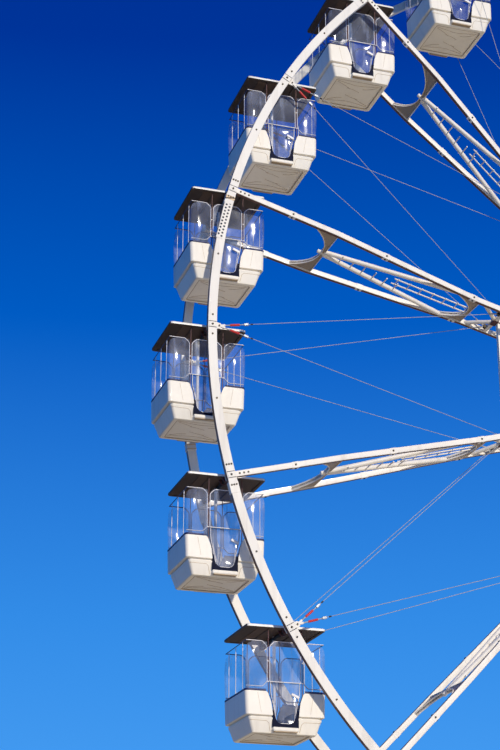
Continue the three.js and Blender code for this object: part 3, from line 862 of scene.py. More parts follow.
# %% Stays
ANCHOR_Y = 0.43
CABLE_RADIUS = 0.0075
LUG_FOOT = WHEEL_RADIUS - RIM_DEPTH / 2 - SEAT_GAP
ANCHOR_FOOT = ANCHOR_BEAM + 0.1 + SEAT_GAP
STAY_FINISHES = [CABLE_STEEL, RIM_PAINT, SLEEVE_RED, BOLT_STEEL, ZINC]
STAY_CREAM, STAY_RED, STAY_STEEL, STAY_ZINC = 1, 2, 3, 4


def stay(turn, side):
    """A cable, and on it from the lug: fork, threaded end, sleeve, threaded end, clevis, clamp, ferrule"""
    made = bmesh.new()
    start = Vector((LUG_FOOT - 0.07, side * RIM_HALF_SPACING, 0))
    foot = Matrix.Rotation(-turn, 3, "Y") @ Vector((ANCHOR_FOOT + 0.04, 0, 0))
    end = foot + Vector((0, side * ANCHOR_Y, 0))
    along = (end - start).normalized()

    def at(distance):
        return start + along * distance

    stack(made, rod(at(0.1), end, CABLE_RADIUS, sides=8))
    for y in (-0.022, 0.022):
        cheek = Vector((0, y, 0))
        stack(made, bar(at(0.0) + cheek, at(0.16) + cheek, 0.012, 0.05), paint=STAY_CREAM)
    stack(made, rod(at(0.10), at(0.31), 0.016, sides=10))
    stack(made, rod(at(0.29), at(0.54), 0.028, sides=12), paint=STAY_RED)
    stack(made, rod(at(0.54), at(0.66), 0.014, sides=8))
    clevis = box((-0.026, -0.06, -0.03), (0.026, 0.06, 0.03), edge=0.01)
    stack(made, clevis, axes(at(0.66), at(0.78)), paint=STAY_ZINC)
    stack(made, rod(at(0.84), at(0.90), 0.018, sides=8), paint=STAY_STEEL)
    stack(made, rod(end - along * 0.3, end, 0.02, sides=10))
    return made


def stays(side):
    made = bmesh.new()
    lug_outline = [(-0.13, -0.06), (0, -0.09), (0, 0.09), (-0.13, 0.06)]
    lug = plate(lug_outline, 0.03, edge=0.006, rounded=(0, 3), radius=0.04)
    pin = rod((-0.07, 0, -0.04), (-0.07, 0, 0.04), 0.02)
    lay = place_at(LUG_FOOT, side * RIM_HALF_SPACING) @ Matrix.Rotation(math.pi / 2, 4, "X")
    low, high = (ANCHOR_FOOT, ANCHOR_Y - 0.045, -0.05), (ANCHOR_FOOT + 0.08, ANCHOR_Y + 0.045, 0.05)
    anchor = box(low, high, edge=0.01)
    pair = bmesh.new()
    stack(pair, stay(STEP, side), paint=None)
    stack(pair, stay(-STEP, side), paint=None)
    for k in range(CABINS // 2):
        here, beside = wheel_turn(2 * k * STEP), wheel_turn((2 * k + 1) * STEP)
        stack(made, pair, here, paint=None)
        stack(made, lug, here @ lay, paint=STAY_CREAM)
        stack(made, pin, here @ lay, paint=STAY_STEEL)
        stack(made, anchor, beside @ mirrored(y=side), paint=STAY_STEEL)
    return made


for label, side in FRONT_BACK:
    shaped_piece(f"stay_cables_{label}", stays(side), STAY_FINISHES, "wheel", "cable_steel", f"stays_{label}")
print("stays done")

# %% [markdown]
# The hub is a barrel between two flanges, turned from one profile like the casting it is. Gussets stiffen
# the flanges, and bolts clamp each chord's foot.

# %% Hub
HUB_PROFILE = [
    (0, 2.04), (0.13, 2.04), (0.15, 2.02), (0.15, 0.82), (0.24, 0.80), (0.26, 0.67), (0.88, 0.67),
    (0.90, 0.65), (0.90, 0.55), (0.88, 0.53), (0.46, 0.53), (0.43, 0.50),
]
hub = bmesh.new()
stack(hub, turned(HUB_PROFILE + [(r, -y) for r, y in reversed(HUB_PROFILE)], 96), HUB)
gusset = plate([(0.42, 0.535), (0.80, 0.535), (0.42, 0.10)], 0.025)
foot_bolt = bolt(0.024, 0.02)
for k in range(CABINS):
    for side in SIDES:
        turn = wheel_turn(k * STEP) @ mirrored(y=side)
        if k % 2:
            for radius in (0.62, 0.74, 0.84):
                stack(hub, foot_bolt, turn @ facing((0, 1, 0), (radius, 0.675, 0)), paint=BOLTS)
        else:
            stack(hub, gusset, turn)
shaped_piece("hub_drum", hub, [SPOKE_PAINT, BOLT_STEEL], "wheel", "wheel_paint", "hub")
print("hub", len(hub.faces), "faces")

# %% [markdown]
# ## The cabin
# Twenty-four cabins are alike, so one template is made from parts and copied. The tub is a moulded shell:
# a rounded rectangle is extruded and scaled from level to level, as the mould narrows, and the hollow for
# seats and legs continues the same extrusion back down inside.

# %% Levels of the tub
FLOOR, BENCH, TUB_TOP = -2.16, -1.72, -1.375
TUB_LEVELS = [
    (-2.276, 0.640, 0.600), (-2.300, 0.660, 0.620), (-2.300, 0.744, 0.704), (-2.280, 0.768, 0.727),
    (-2.010, 0.856, 0.786), (-2.000, 0.868, 0.797), (-1.960, 0.874, 0.801), (-1.952, 0.846, 0.772),
    (-1.922, 0.848, 0.774), (-1.916, 0.922, 0.826), (-1.902, 0.935, 0.835), (-1.405, 0.955, 0.816),
    (-1.382, 0.950, 0.811), (TUB_TOP, 0.936, 0.797), (TUB_TOP, 0.895, 0.750), (BENCH, 0.885, 0.740),
    (BENCH, 0.460, 0.710), (FLOOR, 0.450, 0.700),
]


def lofted(levels, corner, steps):
    """A rounded rectangle extruded and scaled from level to level: height, half length, half width"""
    low, half_x, half_y = levels[0]
    foot = [(-half_x, -half_y), (half_x, -half_y), (half_x, half_y), (-half_x, half_y)]
    shape = outline_face(foot, rounded=range(4), radius=corner, steps=steps)
    bmesh.ops.translate(shape, vec=(0, 0, low), verts=shape.verts)
    top = shape.faces[:]
    for (z0, x0, y0), (z1, x1, y1) in zip(levels, levels[1:]):
        out = bmesh.ops.extrude_face_region(shape, geom=top)
        if z0 != low or (x0, y0) != (half_x, half_y):
            bmesh.ops.delete(shape, geom=top, context="FACES_ONLY")
        verts = moved(out, bmesh.types.BMVert)
        bmesh.ops.scale(shape, vec=(x1 / x0, y1 / y0, 1), verts=verts)
        bmesh.ops.translate(shape, vec=(0, 0, z1 - z0), verts=verts)
        top = moved(out, bmesh.types.BMFace)
    return shape


plain_tub = lofted(TUB_LEVELS, 0.055, 5)
print("plain tub", len(plain_tub.faces), "faces")

# %% [markdown]
# A doorway with navy edges is cut through the tub at each end. It narrows towards the sill and flares at the
# top. Then the faces are sorted by where they lie: the hollow is seat blue, and the underside takes the
# lighter finish that is painted bounce light.

# %% Doorways of the tub
SHELL_FINISHES = [GELCOAT, NAVY, SEAT_BLUE, DARK_LINE_SHADE, NEAR_BLACK_AND_SHADE, UNDERSIDE_PAINTED_LIGHT]
SHELL_NAVY, SHELL_SEATS, SHELL_SHADE_LINES, SHELL_GAP_PLATES, SHELL_BENEATH_PAINTED_LIGHT = 1, 2, 3, 4, 5
DOORWAY_SIDE = [
    (0.298, -2.152), (0.312, -1.86), (0.345, -1.62), (0.415, TUB_TOP - 0.05), (0.46, TUB_TOP + 0.001),
]


def upright(at):
    """Stands a plate that was drawn flat, so that its Y becomes height"""
    return Matrix.Translation(at) @ Matrix.Rotation(math.pi / 2, 4, "X")


def doorway_cutter():
    """The doorway's outline, carried on above the tub"""
    left = [(-x, z) for x, z in DOORWAY_SIDE]
    outline = [*left, (-0.46, -1.0), (0.46, -1.0), *reversed(DOORWAY_SIDE)]
    shape = plate(outline, 0.6, edge=0, rounded=(0, len(outline) - 1), radius=0.06, steps=4)
    bmesh.ops.transform(shape, matrix=upright((0, -0.95, 0)), verts=shape.verts)
    return shape


doorways = bmesh.new()
stack(doorways, doorway_cutter(), *ENDS)
shell_tub = cut(plain_tub, doorways, paint=SHELL_NAVY)
for face in shell_tub.faces:
    middle = face.calc_center_median()
    above_bench = middle.z > BENCH - 0.01 and abs(middle.x) < 0.90
    hollow = (above_bench or abs(middle.x) < 0.47) and abs(middle.y) < 0.76
    if hollow and FLOOR - 0.01 < middle.z < TUB_TOP - 0.01:
        face.material_index = SHELL_SEATS
    # The underside takes the lighter finish, painted bounce light.
    elif middle.z < -2.27 and abs(middle.x) < 0.75 and abs(middle.y) < 0.72:
        face.material_index = SHELL_BENEATH_PAINTED_LIGHT
print("tub", len(shell_tub.faces), "faces")

# %% [markdown]
# The underside carries shallow pressed beads that run from its corners towards the middle, and one round its
# edge. Fine moulded lines cross the tub's front and back. They are thin tubes sunk into the surface, and
# their dark brown is painted shade, as falls in such creases.

# %% Beads and moulded lines
FLOOR_EDGE = ((-0.65, -0.61, 0), (0.65, -0.61, 0), (0.65, 0.61, 0), (-0.65, 0.61, 0))
SLANTING_BEADS = (
    ((-0.60, -0.52), (-0.05, -0.40), (0.12, -0.41), (0.60, -0.50)),
    ((-0.58, -0.47), (-0.30, -0.32), (-0.14, -0.21)),
    ((0.56, -0.44), (0.34, -0.30), (0.20, -0.27)),
    ((-0.16, 0.10), (0.06, 0.20), (0.24, 0.24)),
)
DIP = ((-0.84, -2.028), (-0.44, -2.034), (-0.385, -2.08), (-0.345, -2.262))


def underside():
    """The beads of the underside"""
    made = bmesh.new()
    edge = rounded_path(FLOOR_EDGE, 0.06, closed=True)
    stack(made, tube([p + Vector((0, 0, -2.296)) for p in edge], 0.007, sides=6, closed=True))
    for bends in SLANTING_BEADS:
        path = rounded_path([(x, y, -2.276) for x, y in bends], 0.05)
        stack(made, tube(path, 0.007, sides=6), *ENDS)
    return made


def lower_face(x, z):
    """A point on the lower tub's front, which leans out as it rises"""
    share = (z + 2.28) / 0.27
    return Vector((x, -0.727 - 0.059 * share - 0.001, z))


def front_lines():
    """A step in the mould dips round the doorway's foot, and a crease slants down the upper tub"""
    made = bmesh.new()
    for side in SIDES:
        stack(made, tube([lower_face(-side * x, z) for x, z in DIP], 0.0045, sides=6))
    for side in SIDES:
        stack(made, rod((side * 0.66, -0.8185, -1.42), (side * 0.58, -0.8325, -1.86), 0.003, sides=6))
    return made


print("underside", len(underside().faces), "faces; lines", len(front_lines().faces))

# %% [markdown]
# A rounded sill closes each doorway, with a thin dark strip under it as its painted shadow. Near-black plates
# fill the gap between the doorway and the round foot of the door, and inside are two benches with backs, each
# one moulding across the whole width.

# %% Sills, seals and benches
GAP_PLATE_CURVE = ((0.264, -1.80), (0.246, -1.93), (0.215, -2.01), (0.16, -2.065), (0.09, -2.09), (0.0, -2.098))


def shell_shape():
    made = bmesh.new()
    stack(made, shell_tub, paint=None)
    # Beads and lines take the dark brown of painted crease shade.
    stack(made, underside(), paint=SHELL_SHADE_LINES)
    stack(made, front_lines(), *ENDS, paint=SHELL_SHADE_LINES)
    stack(made, box((-0.305, -0.842, -2.262), (0.305, -0.70, -2.164), edge=0.032, steps=3), *ENDS)
    # A thin dark strip under the sill is its painted shadow.
    stack(made, box((-0.27, -0.83, -2.275), (0.27, -0.70, -2.255), edge=0.006), *ENDS, paint=SHELL_SHADE_LINES)
    gap_plate = plate([(0.312, -2.165), (0.316, -1.80), *GAP_PLATE_CURVE, (0.0, -2.165)], 0.012)
    for side in SIDES:
        places = [end @ mirrored(side) @ upright((0, -0.792, 0)) for end in ENDS]
        stack(made, gap_plate, *places, paint=SHELL_GAP_PLATES)
    seat = box((0.455, -0.66, BENCH - 0.01), (0.875, 0.66, BENCH + 0.05), edge=0.024, steps=3)
    back = bar((0.866, 0, BENCH + 0.05), (0.866, 0, TUB_TOP + 0.02), 1.20, 0.05, edge=0.022, steps=3)
    stack(made, seat, *ENDS, paint=SHELL_SEATS)
    stack(made, back, *ENDS, paint=SHELL_SEATS)
    return made


shell_mesh = mesh_of(shell_shape(), "cabin_shell", SHELL_FINISHES)
print("shell", len(shell_mesh.polygons), "faces")

# %% [markdown]
# The roof is a thin lid with rounded corners: white skin that turns down at the front and back, and a dark
# lining underneath, set in by a step all round, with one browner panel. The strips along its left and right
# edges take the lining's dark colour as painted shade.

# %% Roof
ROOF_HALF = (0.95, 0.91)
ROOF_UNDER_AND_EDGE_SHADE, ROOF_PANEL = 1, 2
HEIGHTS_AND_INSETS = [
    (0.068, 0.085), (0.046, 0.075), (0.045, 0.012), (0.052, 0.0), (0.096, 0.0), (0.108, 0.010), (0.113, 0.05),
    (0.126, 0.40),
]


def roof():
    levels = [(z, ROOF_HALF[0] - inset, ROOF_HALF[1] - inset) for z, inset in HEIGHTS_AND_INSETS]
    shape = lofted(levels, 0.07, 4)
    for face in shape.faces:
        middle = face.calc_center_median()
        beneath = middle.z < 0.07 and abs(middle.x) < 0.91 and abs(middle.y) < 0.87
        # The strips along the left and right edges are painted dark as shade.
        if beneath or middle.z < 0.05 or abs(middle.x) > ROOF_HALF[0] - 0.02 and middle.z < 0.10:
            face.material_index = ROOF_UNDER_AND_EDGE_SHADE
    return shape


def roof_shape():
    made = bmesh.new()
    stack(made, roof(), paint=None)
    stack(made, box((-0.62, -0.78, 0.058), (0.10, 0.78, 0.075), edge=0.006), paint=ROOF_PANEL)
    for x in (-0.36, 0.36):
        stack(made, box((x - 0.025, -0.83, 0.045), (x + 0.025, 0.83, 0.075), edge=0.008), paint=ROOF_UNDER_AND_EDGE_SHADE)
    return made


roof_mesh = mesh_of(roof_shape(), "cabin_roof", [ROOF_SKIN, LINING_AND_EDGE_SHADE, LINING_PANEL])
print("roof", len(roof_mesh.polygons), "faces")

# %% [markdown]
# Thin bright tubes frame the clear walls. At each end the rails beside the door leave its posts in a Y and
# run to the cabin's corner, and a loop stands above the door. Their paths come first, as for a bender.

# %% Paths of the rails
WALL = -0.795
DOOR_PLANE = -0.76
CROSSBAR = -1.16
LOOP_TOP, LOOP_FOOT = -0.245, -1.275
BRANCH = 0.115
POST_X, CORNER_X, LOOP_X = 0.432, 0.925, 0.37


def corner_rail():
    """Up the post, out in a Y to the corner at its top and at its foot"""
    corners = [
        (CORNER_X, WALL, LOOP_FOOT), (POST_X + BRANCH, WALL, LOOP_FOOT), (POST_X, WALL, LOOP_FOOT + BRANCH),
        (POST_X, WALL, LOOP_TOP - BRANCH), (POST_X + BRANCH, WALL, LOOP_TOP), (CORNER_X, WALL, LOOP_TOP),
    ]
    return rounded_path(corners, 0.03, steps=2)


def door_loop():
    """Runs up from the crossbar, over the door's top and down again"""
    side = [(-LOOP_X, CROSSBAR), (-LOOP_X, LOOP_TOP - BRANCH), (-LOOP_X + BRANCH, LOOP_TOP)]
    corners = side + [(-x, z) for x, z in reversed(side)]
    return rounded_path([(x, WALL, z) for x, z in corners], 0.03, steps=2)


def door_edging(inset=0.0):
    """The lower half of the door follows the doorway, and its bottom is round"""
    side = [(0.350, CROSSBAR), (0.343, TUB_TOP - 0.10), (0.272, -1.68), (0.240, -2.078)]
    corners = [(-x, 0, z) for x, z in side] + [(x, 0, z) for x, z in side[::-1]]
    return [Vector((p.x * (1 - inset), DOOR_PLANE, p.z)) for p in rounded_path(corners, 0.13, steps=5)]


print("points of the paths", len(corner_rail()), len(door_loop()), len(door_edging()))

# %% [markdown]
# Each bright tube has a navy seal behind it. A dark post stands on each side of the doorway, short pegs join
# the loop to the rail across it, and the door's lower half has a navy edging and a slanting handle.

# %% Cage of one end and frame of one door
CAGE_FINISHES = [TUBE_WHITE, NAVY, POST_DARK, BOLT_STEEL]
CAGE_NAVY, CAGE_DARK, CAGE_STEEL = 1, 2, 3
POST_HALF = 0.009


def framed(made, path, radius=0.009):
    """A bright tube with a navy seal on its inner side"""
    stack(made, tube(path, radius, sides=8))
    stack(made, tube([p + Vector((0, 0.013, 0)) for p in path], radius + 0.001, sides=6), paint=CAGE_NAVY)


def end_cage():
    made = bmesh.new()
    right = bmesh.new()
    framed(right, corner_rail())
    stack(made, right, Matrix.Identity(4), mirrored(-1), paint=None)
    for side in SIDES:
        x = side * 0.401
        post = box((x - POST_HALF, WALL - 0.004, TUB_TOP - 0.08), (x + POST_HALF, WALL + 0.014, 0.05))
        stack(made, post, paint=CAGE_DARK)
        for z in (CROSSBAR, -0.70):
            stack(made, rod((side * 0.39, WALL, z), (side * 0.44, WALL, z), 0.014, sides=8))
    return made


def door_frame():
    made = bmesh.new()
    framed(made, door_loop())
    framed(made, [Vector((-LOOP_X, WALL, CROSSBAR)), Vector((LOOP_X, WALL, CROSSBAR))], 0.011)
    stack(made, tube(door_edging(), 0.012, sides=8), paint=CAGE_NAVY)
    stack(made, tube([p + Vector((0, -0.016, 0)) for p in door_edging(0.01)], 0.008, sides=6))
    stack(made, tube([p + Vector((0, -0.010, 0)) for p in door_edging(0.10)][6:-6], 0.005, sides=6))
    slant = place_at(0.235, WALL, -1.455) @ Matrix.Rotation(math.radians(24), 4, "Y")
    stack(made, box((-0.10, -0.02, -0.032), (0.10, 0.03, 0.032), edge=0.012), slant)
    return made


print("end cage", len(end_cage().faces), "faces; door", len(door_frame().faces))

# %% [markdown]
# A whole cage has both ends, a navy hem on the tub, the top rails and three slim bars on each side, the
# centre post and the axle. Hangers carry the roof on the axle.

# %% Rails, bars, pole and axle
HEM = ((0.47, -0.806, 0), (0.94, -0.806, 0), (0.94, 0.806, 0), (0.47, 0.806, 0))
HEM_RISE, HEM_RADIUS = 0.018, 0.024
HANGER = ((-0.12, 0.05), (-0.055, -0.07), (0.055, -0.07), (0.12, 0.05))
AXLE_HALF, AXLE_RADIUS, POLE_RADIUS = 0.9847, 0.046, 0.036


def cage_shape(doors):
    """A cage whose door frames stand at the given ends"""
    made = bmesh.new()
    stack(made, end_cage(), *ENDS, paint=None)
    stack(made, door_frame(), *doors, paint=None)
    hem = [p + Vector((0, 0, TUB_TOP + HEM_RISE)) for p in rounded_path(HEM, 0.07)]
    stack(made, tube(hem, HEM_RADIUS, sides=10), *ENDS, paint=CAGE_NAVY)
    for side in SIDES:
        x = side * CORNER_X
        stack(made, rod((x, WALL, LOOP_TOP), (x, -WALL, LOOP_TOP), 0.010, sides=8), paint=CAGE_NAVY)
        for y in (-0.53, 0.0, 0.53):
            stack(made, rod((x, y, TUB_TOP - 0.02), (x, y, LOOP_TOP), 0.009, sides=8))
            stack(made, rod((x, y, TUB_TOP), (x, y, TUB_TOP + 0.05), 0.015), paint=CAGE_NAVY)
    stack(made, rod((0, 0, FLOOR), (0, 0, 0.06), POLE_RADIUS, sides=14))
    stack(made, rod((0, -AXLE_HALF, 0), (0, AXLE_HALF, 0), AXLE_RADIUS, sides=20), paint=CAGE_STEEL)
    hanger = plate(HANGER, 0.03, rounded=(1, 2), radius=0.05)
    for y in (-0.86, -0.62, 0.62, 0.86):
        stack(made, hanger, upright((0, y, 0)), paint=CAGE_DARK)
    return made


cage_mesh = mesh_of(cage_shape(ENDS), "cabin_cage", CAGE_FINISHES)
print("cage", len(cage_mesh.polygons), "faces")

# %% [markdown]
# The boarding cabin's front door swings on two hinges, so that cabin's cage leaves the front door's frame out
# and carries the hinges' lower halves instead. The door carries the upper halves.

# %% Hinges and the boarding cabin's cage
HINGE_X, HINGE_HEIGHTS = -0.365, (-0.51, -1.31)
BARREL_RADIUS = 0.014


def hinge_parts(low, high, plate_x):
    """A barrel on the hinge line and the flap that holds it, at both hinges"""
    made = bmesh.new()
    left, right = sorted((HINGE_X, plate_x))
    for z in HINGE_HEIGHTS:
        barrel = rod((HINGE_X, DOOR_PLANE, z + low), (HINGE_X, DOOR_PLANE, z + high), BARREL_RADIUS)
        flap = box((left, DOOR_PLANE - 0.012, z + low), (right, DOOR_PLANE + 0.008, z + high), edge=0.003)
        stack(made, barrel, paint=CAGE_STEEL)
        stack(made, flap, paint=CAGE_STEEL)
    return made


open_cage = stack(cage_shape(ENDS[1:]), hinge_parts(-0.04, 0, -0.405), paint=None)
open_cage_mesh = mesh_of(open_cage, "cabin_cage_boarding", CAGE_FINISHES)
print("boarding cabin's cage", len(open_cage_mesh.polygons), "faces")

# %% [markdown]
# The clear walls are bent sheets that swell a little, as blown plastic does, and that swelling is what
# catches the sun in a bright star with a streak below it. A line drawn in plan bows out and wraps round the
# cabin's corner, and its edges are extruded upwards level by level. Planes then trim the top outer corner
# round, and solidify gives the sheet its thickness.

# %% Clear walls
SHEET_FOOT, SHEET_THICKNESS = TUB_TOP + 0.03, 0.005
SHEET_RISES = [(0.18, 0.027), (0.22, 0.021), (0.24, 0.008), (0.22, -0.016), (0.16, -0.034), (0.075, -0.05)]
SHEET_PLAN = (
    (0.43, -0.800, 0), (0.55, -0.822, 0), (0.70, -0.836, 0), (0.83, -0.828, 0), (0.945, -0.800, 0),
    (0.945, -0.60, 0),
)
CORNER_TRIMS = ((28, 0.78, -0.265), (52, 0.88, -0.31), (74, 0.935, -0.40))


def corner_sheet():
    """Rises and swellings go in pairs: how far each row of edges is lifted, and how much it grows"""
    shape = bmesh.new()
    plan = rounded_path(SHEET_PLAN, 0.055, steps=3)
    points = [shape.verts.new((p.x, p.y, SHEET_FOOT)) for p in plan]
    ring = [shape.edges.new(pair) for pair in zip(points, points[1:])]
    for rise, swelling in SHEET_RISES:
        out = bmesh.ops.extrude_edge_only(shape, edges=ring)
        verts = set(moved(out, bmesh.types.BMVert))
        ring = [e for e in moved(out, bmesh.types.BMEdge) if verts.issuperset(e.verts)]
        bmesh.ops.translate(shape, vec=(0, 0, rise), verts=list(verts))
        bmesh.ops.scale(shape, vec=(1 + swelling * 0.3, 1 + swelling, 1), verts=list(verts))
    for degrees, x, z in CORNER_TRIMS:
        tilt = math.radians(degrees)
        bmesh.ops.bisect_plane(
            shape, geom=[*shape.verts, *shape.edges, *shape.faces], dist=1e-5, clear_outer=True,
            plane_co=(x, 0, z), plane_no=(math.sin(tilt), 0, math.cos(tilt)),
        )
    bmesh.ops.recalc_face_normals(shape, faces=shape.faces)
    bmesh.ops.solidify(shape, geom=shape.faces[:], thickness=SHEET_THICKNESS)
    return shape


print("corner sheet", len(corner_sheet().faces), "faces")

# %% [markdown]
# A door has an upper and a lower sheet. The lower one is dished inwards. It starts as a flat plate that
# planes divide into a grid, and each of its points is pressed in by its place.

# %% Door sheets
PLATE_THICKNESS = 0.006
DISH_DEPTH, DISH_HALF_WIDTH, DISH_MIDDLE, DISH_HALF_HEIGHT = 0.045, 0.35, -1.62, 0.5
GRID_LINES = [(0.05 * k, 0) for k in range(-6, 7)] + [(0, CROSSBAR - 0.065 * k) for k in range(1, 14)]


def dished_sheet():
    shape = plate([(p.x, p.z) for p in door_edging()], PLATE_THICKNESS, edge=0)
    low = stack(bmesh.new(), shape, upright((0, DOOR_PLANE, 0)))
    for x, z in GRID_LINES:
        bmesh.ops.bisect_plane(
            low, geom=[*low.verts, *low.edges, *low.faces], dist=1e-5,
            plane_co=(x, 0, z), plane_no=(0, 0, 1) if z else (1, 0, 0),
        )
    for vert in low.verts:
        across, up = vert.co.x / DISH_HALF_WIDTH, (vert.co.z - DISH_MIDDLE) / DISH_HALF_HEIGHT
        vert.co.y += DISH_DEPTH * max(0.0, 1 - across * across) * max(0.0, 1 - up**6)
    return low


def door_sheets():
    made = bmesh.new()
    top = [(-LOOP_X, CROSSBAR), (LOOP_X, CROSSBAR), (LOOP_X, LOOP_TOP), (-LOOP_X, LOOP_TOP)]
    upper = plate(top, PLATE_THICKNESS, edge=0, rounded=(2, 3), radius=0.12)
    stack(made, upper, upright((0, WALL, 0)))
    stack(made, dished_sheet())
    return made


def sheets_shape(doors):
    made = bmesh.new()
    for end in ENDS:
        stack(made, corner_sheet(), end, end @ mirrored(-1))
    stack(made, door_sheets(), *doors)
    return made


sheets_mesh = mesh_of(sheets_shape(ENDS), "cabin_sheets", [CLEAR])
open_sheets_mesh = mesh_of(sheets_shape(ENDS[1:]), "cabin_sheets_boarding", [CLEAR])
print("sheets", len(sheets_mesh.polygons), "faces")

# %% [markdown]
# Every cabin gets its own copy of the meshes, moved to its pivot, because the patterns on Object
# coordinates then differ from cabin to cabin as wear does.

# %% Twenty-four cabins
for number in range(1, CABINS + 1):
    body = f"cabin_{number:02d}"
    boarding = number == 1
    parts = (
        ("shell", shell_mesh, "cabin_shell", (body,)),
        ("roof", roof_mesh, "cabin_shell", ()),
        ("cage", open_cage_mesh if boarding else cage_mesh, "wheel_paint", ()),
        ("sheets", open_sheets_mesh if boarding else sheets_mesh, "clear_sheet", ()),
    )
    for label, template, slot_name, nodes in parts:
        own = template.copy()
        own.transform(pivot_of(number))
        piece(f"{body}_{label}", own, body, slot_name, *nodes)
print("cabins placed", CABINS)

# %% [markdown]
# The lowest cabin's front door swings, so its sheet and edging ride on a body of their own.

# %% Boarding door
boarding_sheet = mesh_of(door_sheets(), "boarding_door_sheet", [CLEAR])
boarding_sheet.transform(pivot_of(1))
piece("boarding_door_sheet", boarding_sheet, "boarding_door", "clear_sheet", "boarding_door")
boarding_frame = stack(door_frame(), hinge_parts(SEAT_GAP, 0.06, -0.345), paint=None)
boarding_edge = mesh_of(boarding_frame, "boarding_door_edge", CAGE_FINISHES)
boarding_edge.transform(pivot_of(1))
piece("boarding_door_edge", boarding_edge, "boarding_door", "wheel_paint")
print("boarding door", len(boarding_edge.polygons), "faces")

# %% [markdown]
# ## What stands on the ground
# The photograph ends before the tower. Such wheels stand on two A-shaped towers of box section, bolted to
# ground beams. A tower's head is a thick plate with a bore for the shaft and a bolted collar.

# %% Bearing head of a tower
HEAD_INNER, HEAD_OUTER, HEAD_HALF = 1.56, 1.98, 0.52
COLLAR_THICKNESS, COLLAR_BOLTS, BOLT_CIRCLE = 0.03, 8, 0.25
head_bolt = bolt(0.028, 0.03)


def bearing_head():
    """The head of the tower on the +Y side"""
    made = bmesh.new()
    low, high = HUB_HEIGHT - 0.76, HUB_HEIGHT + 0.42
    head = box((-HEAD_HALF, HEAD_INNER, low), (HEAD_HALF, HEAD_OUTER, high), edge=0.03)
    bore = rod((0, HEAD_INNER - 0.1, HUB_HEIGHT), (0, HEAD_OUTER + 0.1, HUB_HEIGHT), 0.156, sides=48)
    stack(made, cut(head, bore))
    collar = turned([(0.165, 0), (0.165, -0.03), (0.30, -0.03), (0.31, -0.02), (0.31, 0), (0.165, 0)], 48)
    stack(made, collar, place_at(0, HEAD_INNER, HUB_HEIGHT))
    for k in range(COLLAR_BOLTS):
        turn = k * math.pi / 4 + 0.2
        x, z = BOLT_CIRCLE * math.cos(turn), BOLT_CIRCLE * math.sin(turn)
        at = (x, HEAD_INNER - COLLAR_THICKNESS, HUB_HEIGHT + z)
        stack(made, head_bolt, facing((0, -1, 0), at), paint=BOLTS)
    return made


print("bearing head", len(bearing_head().faces), "faces")

# %% [markdown]
# A leg spreads sideways and outwards down to its base plate. Bands show where its sections are bolted
# together, so that it can travel, and two ties join the legs of a tower.

# %% Towers
LEG_TOP = Vector((0.33, 1.77, HUB_HEIGHT - 0.2))
LEG_FOOT = Vector((7.5, 4.2, 0.35))
SPLICE_HEIGHTS, TIE_HEIGHTS = (4.6, 9.0, 13.8), (9.0, 13.8)
SPLICE_HALF = 0.03
TOWER_FINISHES = [TOWER_PAINT, BOLT_STEEL]


def leg_point(z):
    return LEG_TOP.lerp(LEG_FOOT, (LEG_TOP.z - z) / (LEG_TOP.z - LEG_FOOT.z))


def tower_leg():
    """The leg on the +X side of the tower on the +Y side"""
    made = bmesh.new()
    stack(made, bar(LEG_TOP, leg_point(0.352), 0.30, 0.42, edge=0.02))
    for z in SPLICE_HEIGHTS:
        middle, along = leg_point(z), (leg_point(z + 1) - leg_point(z)).normalized()
        stack(made, bar(middle - along * SPLICE_HALF, middle + along * SPLICE_HALF, 0.40, 0.52))
        splice = axes(middle - along, middle + along)
        for shift in (-0.22, 0.22):
            for depth in (-0.17, 0.17):
                stack(made, head_bolt, splice @ facing((0, 1, 0), (depth, SPLICE_HALF, shift)), paint=BOLTS)
    foot = leg_point(0.37)
    base = box((foot.x - 0.36, foot.y - 0.25, 0.352), (foot.x + 0.36, foot.y + 0.25, 0.39), edge=0.008)
    stack(made, base)
    for x in (-0.29, 0.29):
        for y in (-0.19, 0.19):
            stack(made, head_bolt, facing((0, 0, 1), (foot.x + x, foot.y + y, 0.40)), paint=BOLTS)
    return made


tower_shape = bearing_head()
one_leg = tower_leg()
for side in SIDES:
    stack(tower_shape, one_leg, mirrored(side), paint=None)
for z in TIE_HEIGHTS:
    here = leg_point(z)
    stack(tower_shape, bar((-here.x, here.y, z), (here.x, here.y, z), 0.2, 0.2, edge=0.015))
for label, side in FRONT_BACK:
    made = stack(bmesh.new(), tower_shape, mirrored(y=side), paint=None)
    shaped_piece(f"tower_frame_{label}", made, TOWER_FINISHES, "tower", "tower_paint", f"tower_{label}")
print("towers", len(tower_shape.faces), "faces each")

# %% [markdown]
# Ground beams are wide I-sections with stiffeners, because that is how such bases are made up. An outline
# is extruded along the beam and plates are set into its sides.

# %% Ground beams
FLANGE_THICKNESS, WEB_HALF, STIFFENER_HALF = 0.03, 0.05, 0.01
BEAM_Y, BEAM_HALF_WIDTH, CROSS_BEAM_X, CROSS_BEAM_TOP = 4.2, 0.26, 3.2, 0.30


def i_beam(half_length, half_width, height, stiffeners):
    """A welded I-section along X, standing on the ground"""
    low, high = FLANGE_THICKNESS, height - FLANGE_THICKNESS
    outline = [
        (-half_width, 0), (half_width, 0), (half_width, low), (WEB_HALF, low), (WEB_HALF, high),
        (half_width, high), (half_width, height), (-half_width, height), (-half_width, high),
        (-WEB_HALF, high), (-WEB_HALF, low), (-half_width, low),
    ]
    made = bmesh.new()
    lengthwise = Matrix(((0, 0, 1, 0), (1, 0, 0, 0), (0, 1, 0, 0), (0, 0, 0, 1)))
    stack(made, plate(outline, 2 * half_length, edge=0.004), lengthwise)
    inside = half_width - 0.01
    for x in stiffeners:
        stack(made, box((x - STIFFENER_HALF, -inside, low), (x + STIFFENER_HALF, inside, high), edge=0.002))
    return made


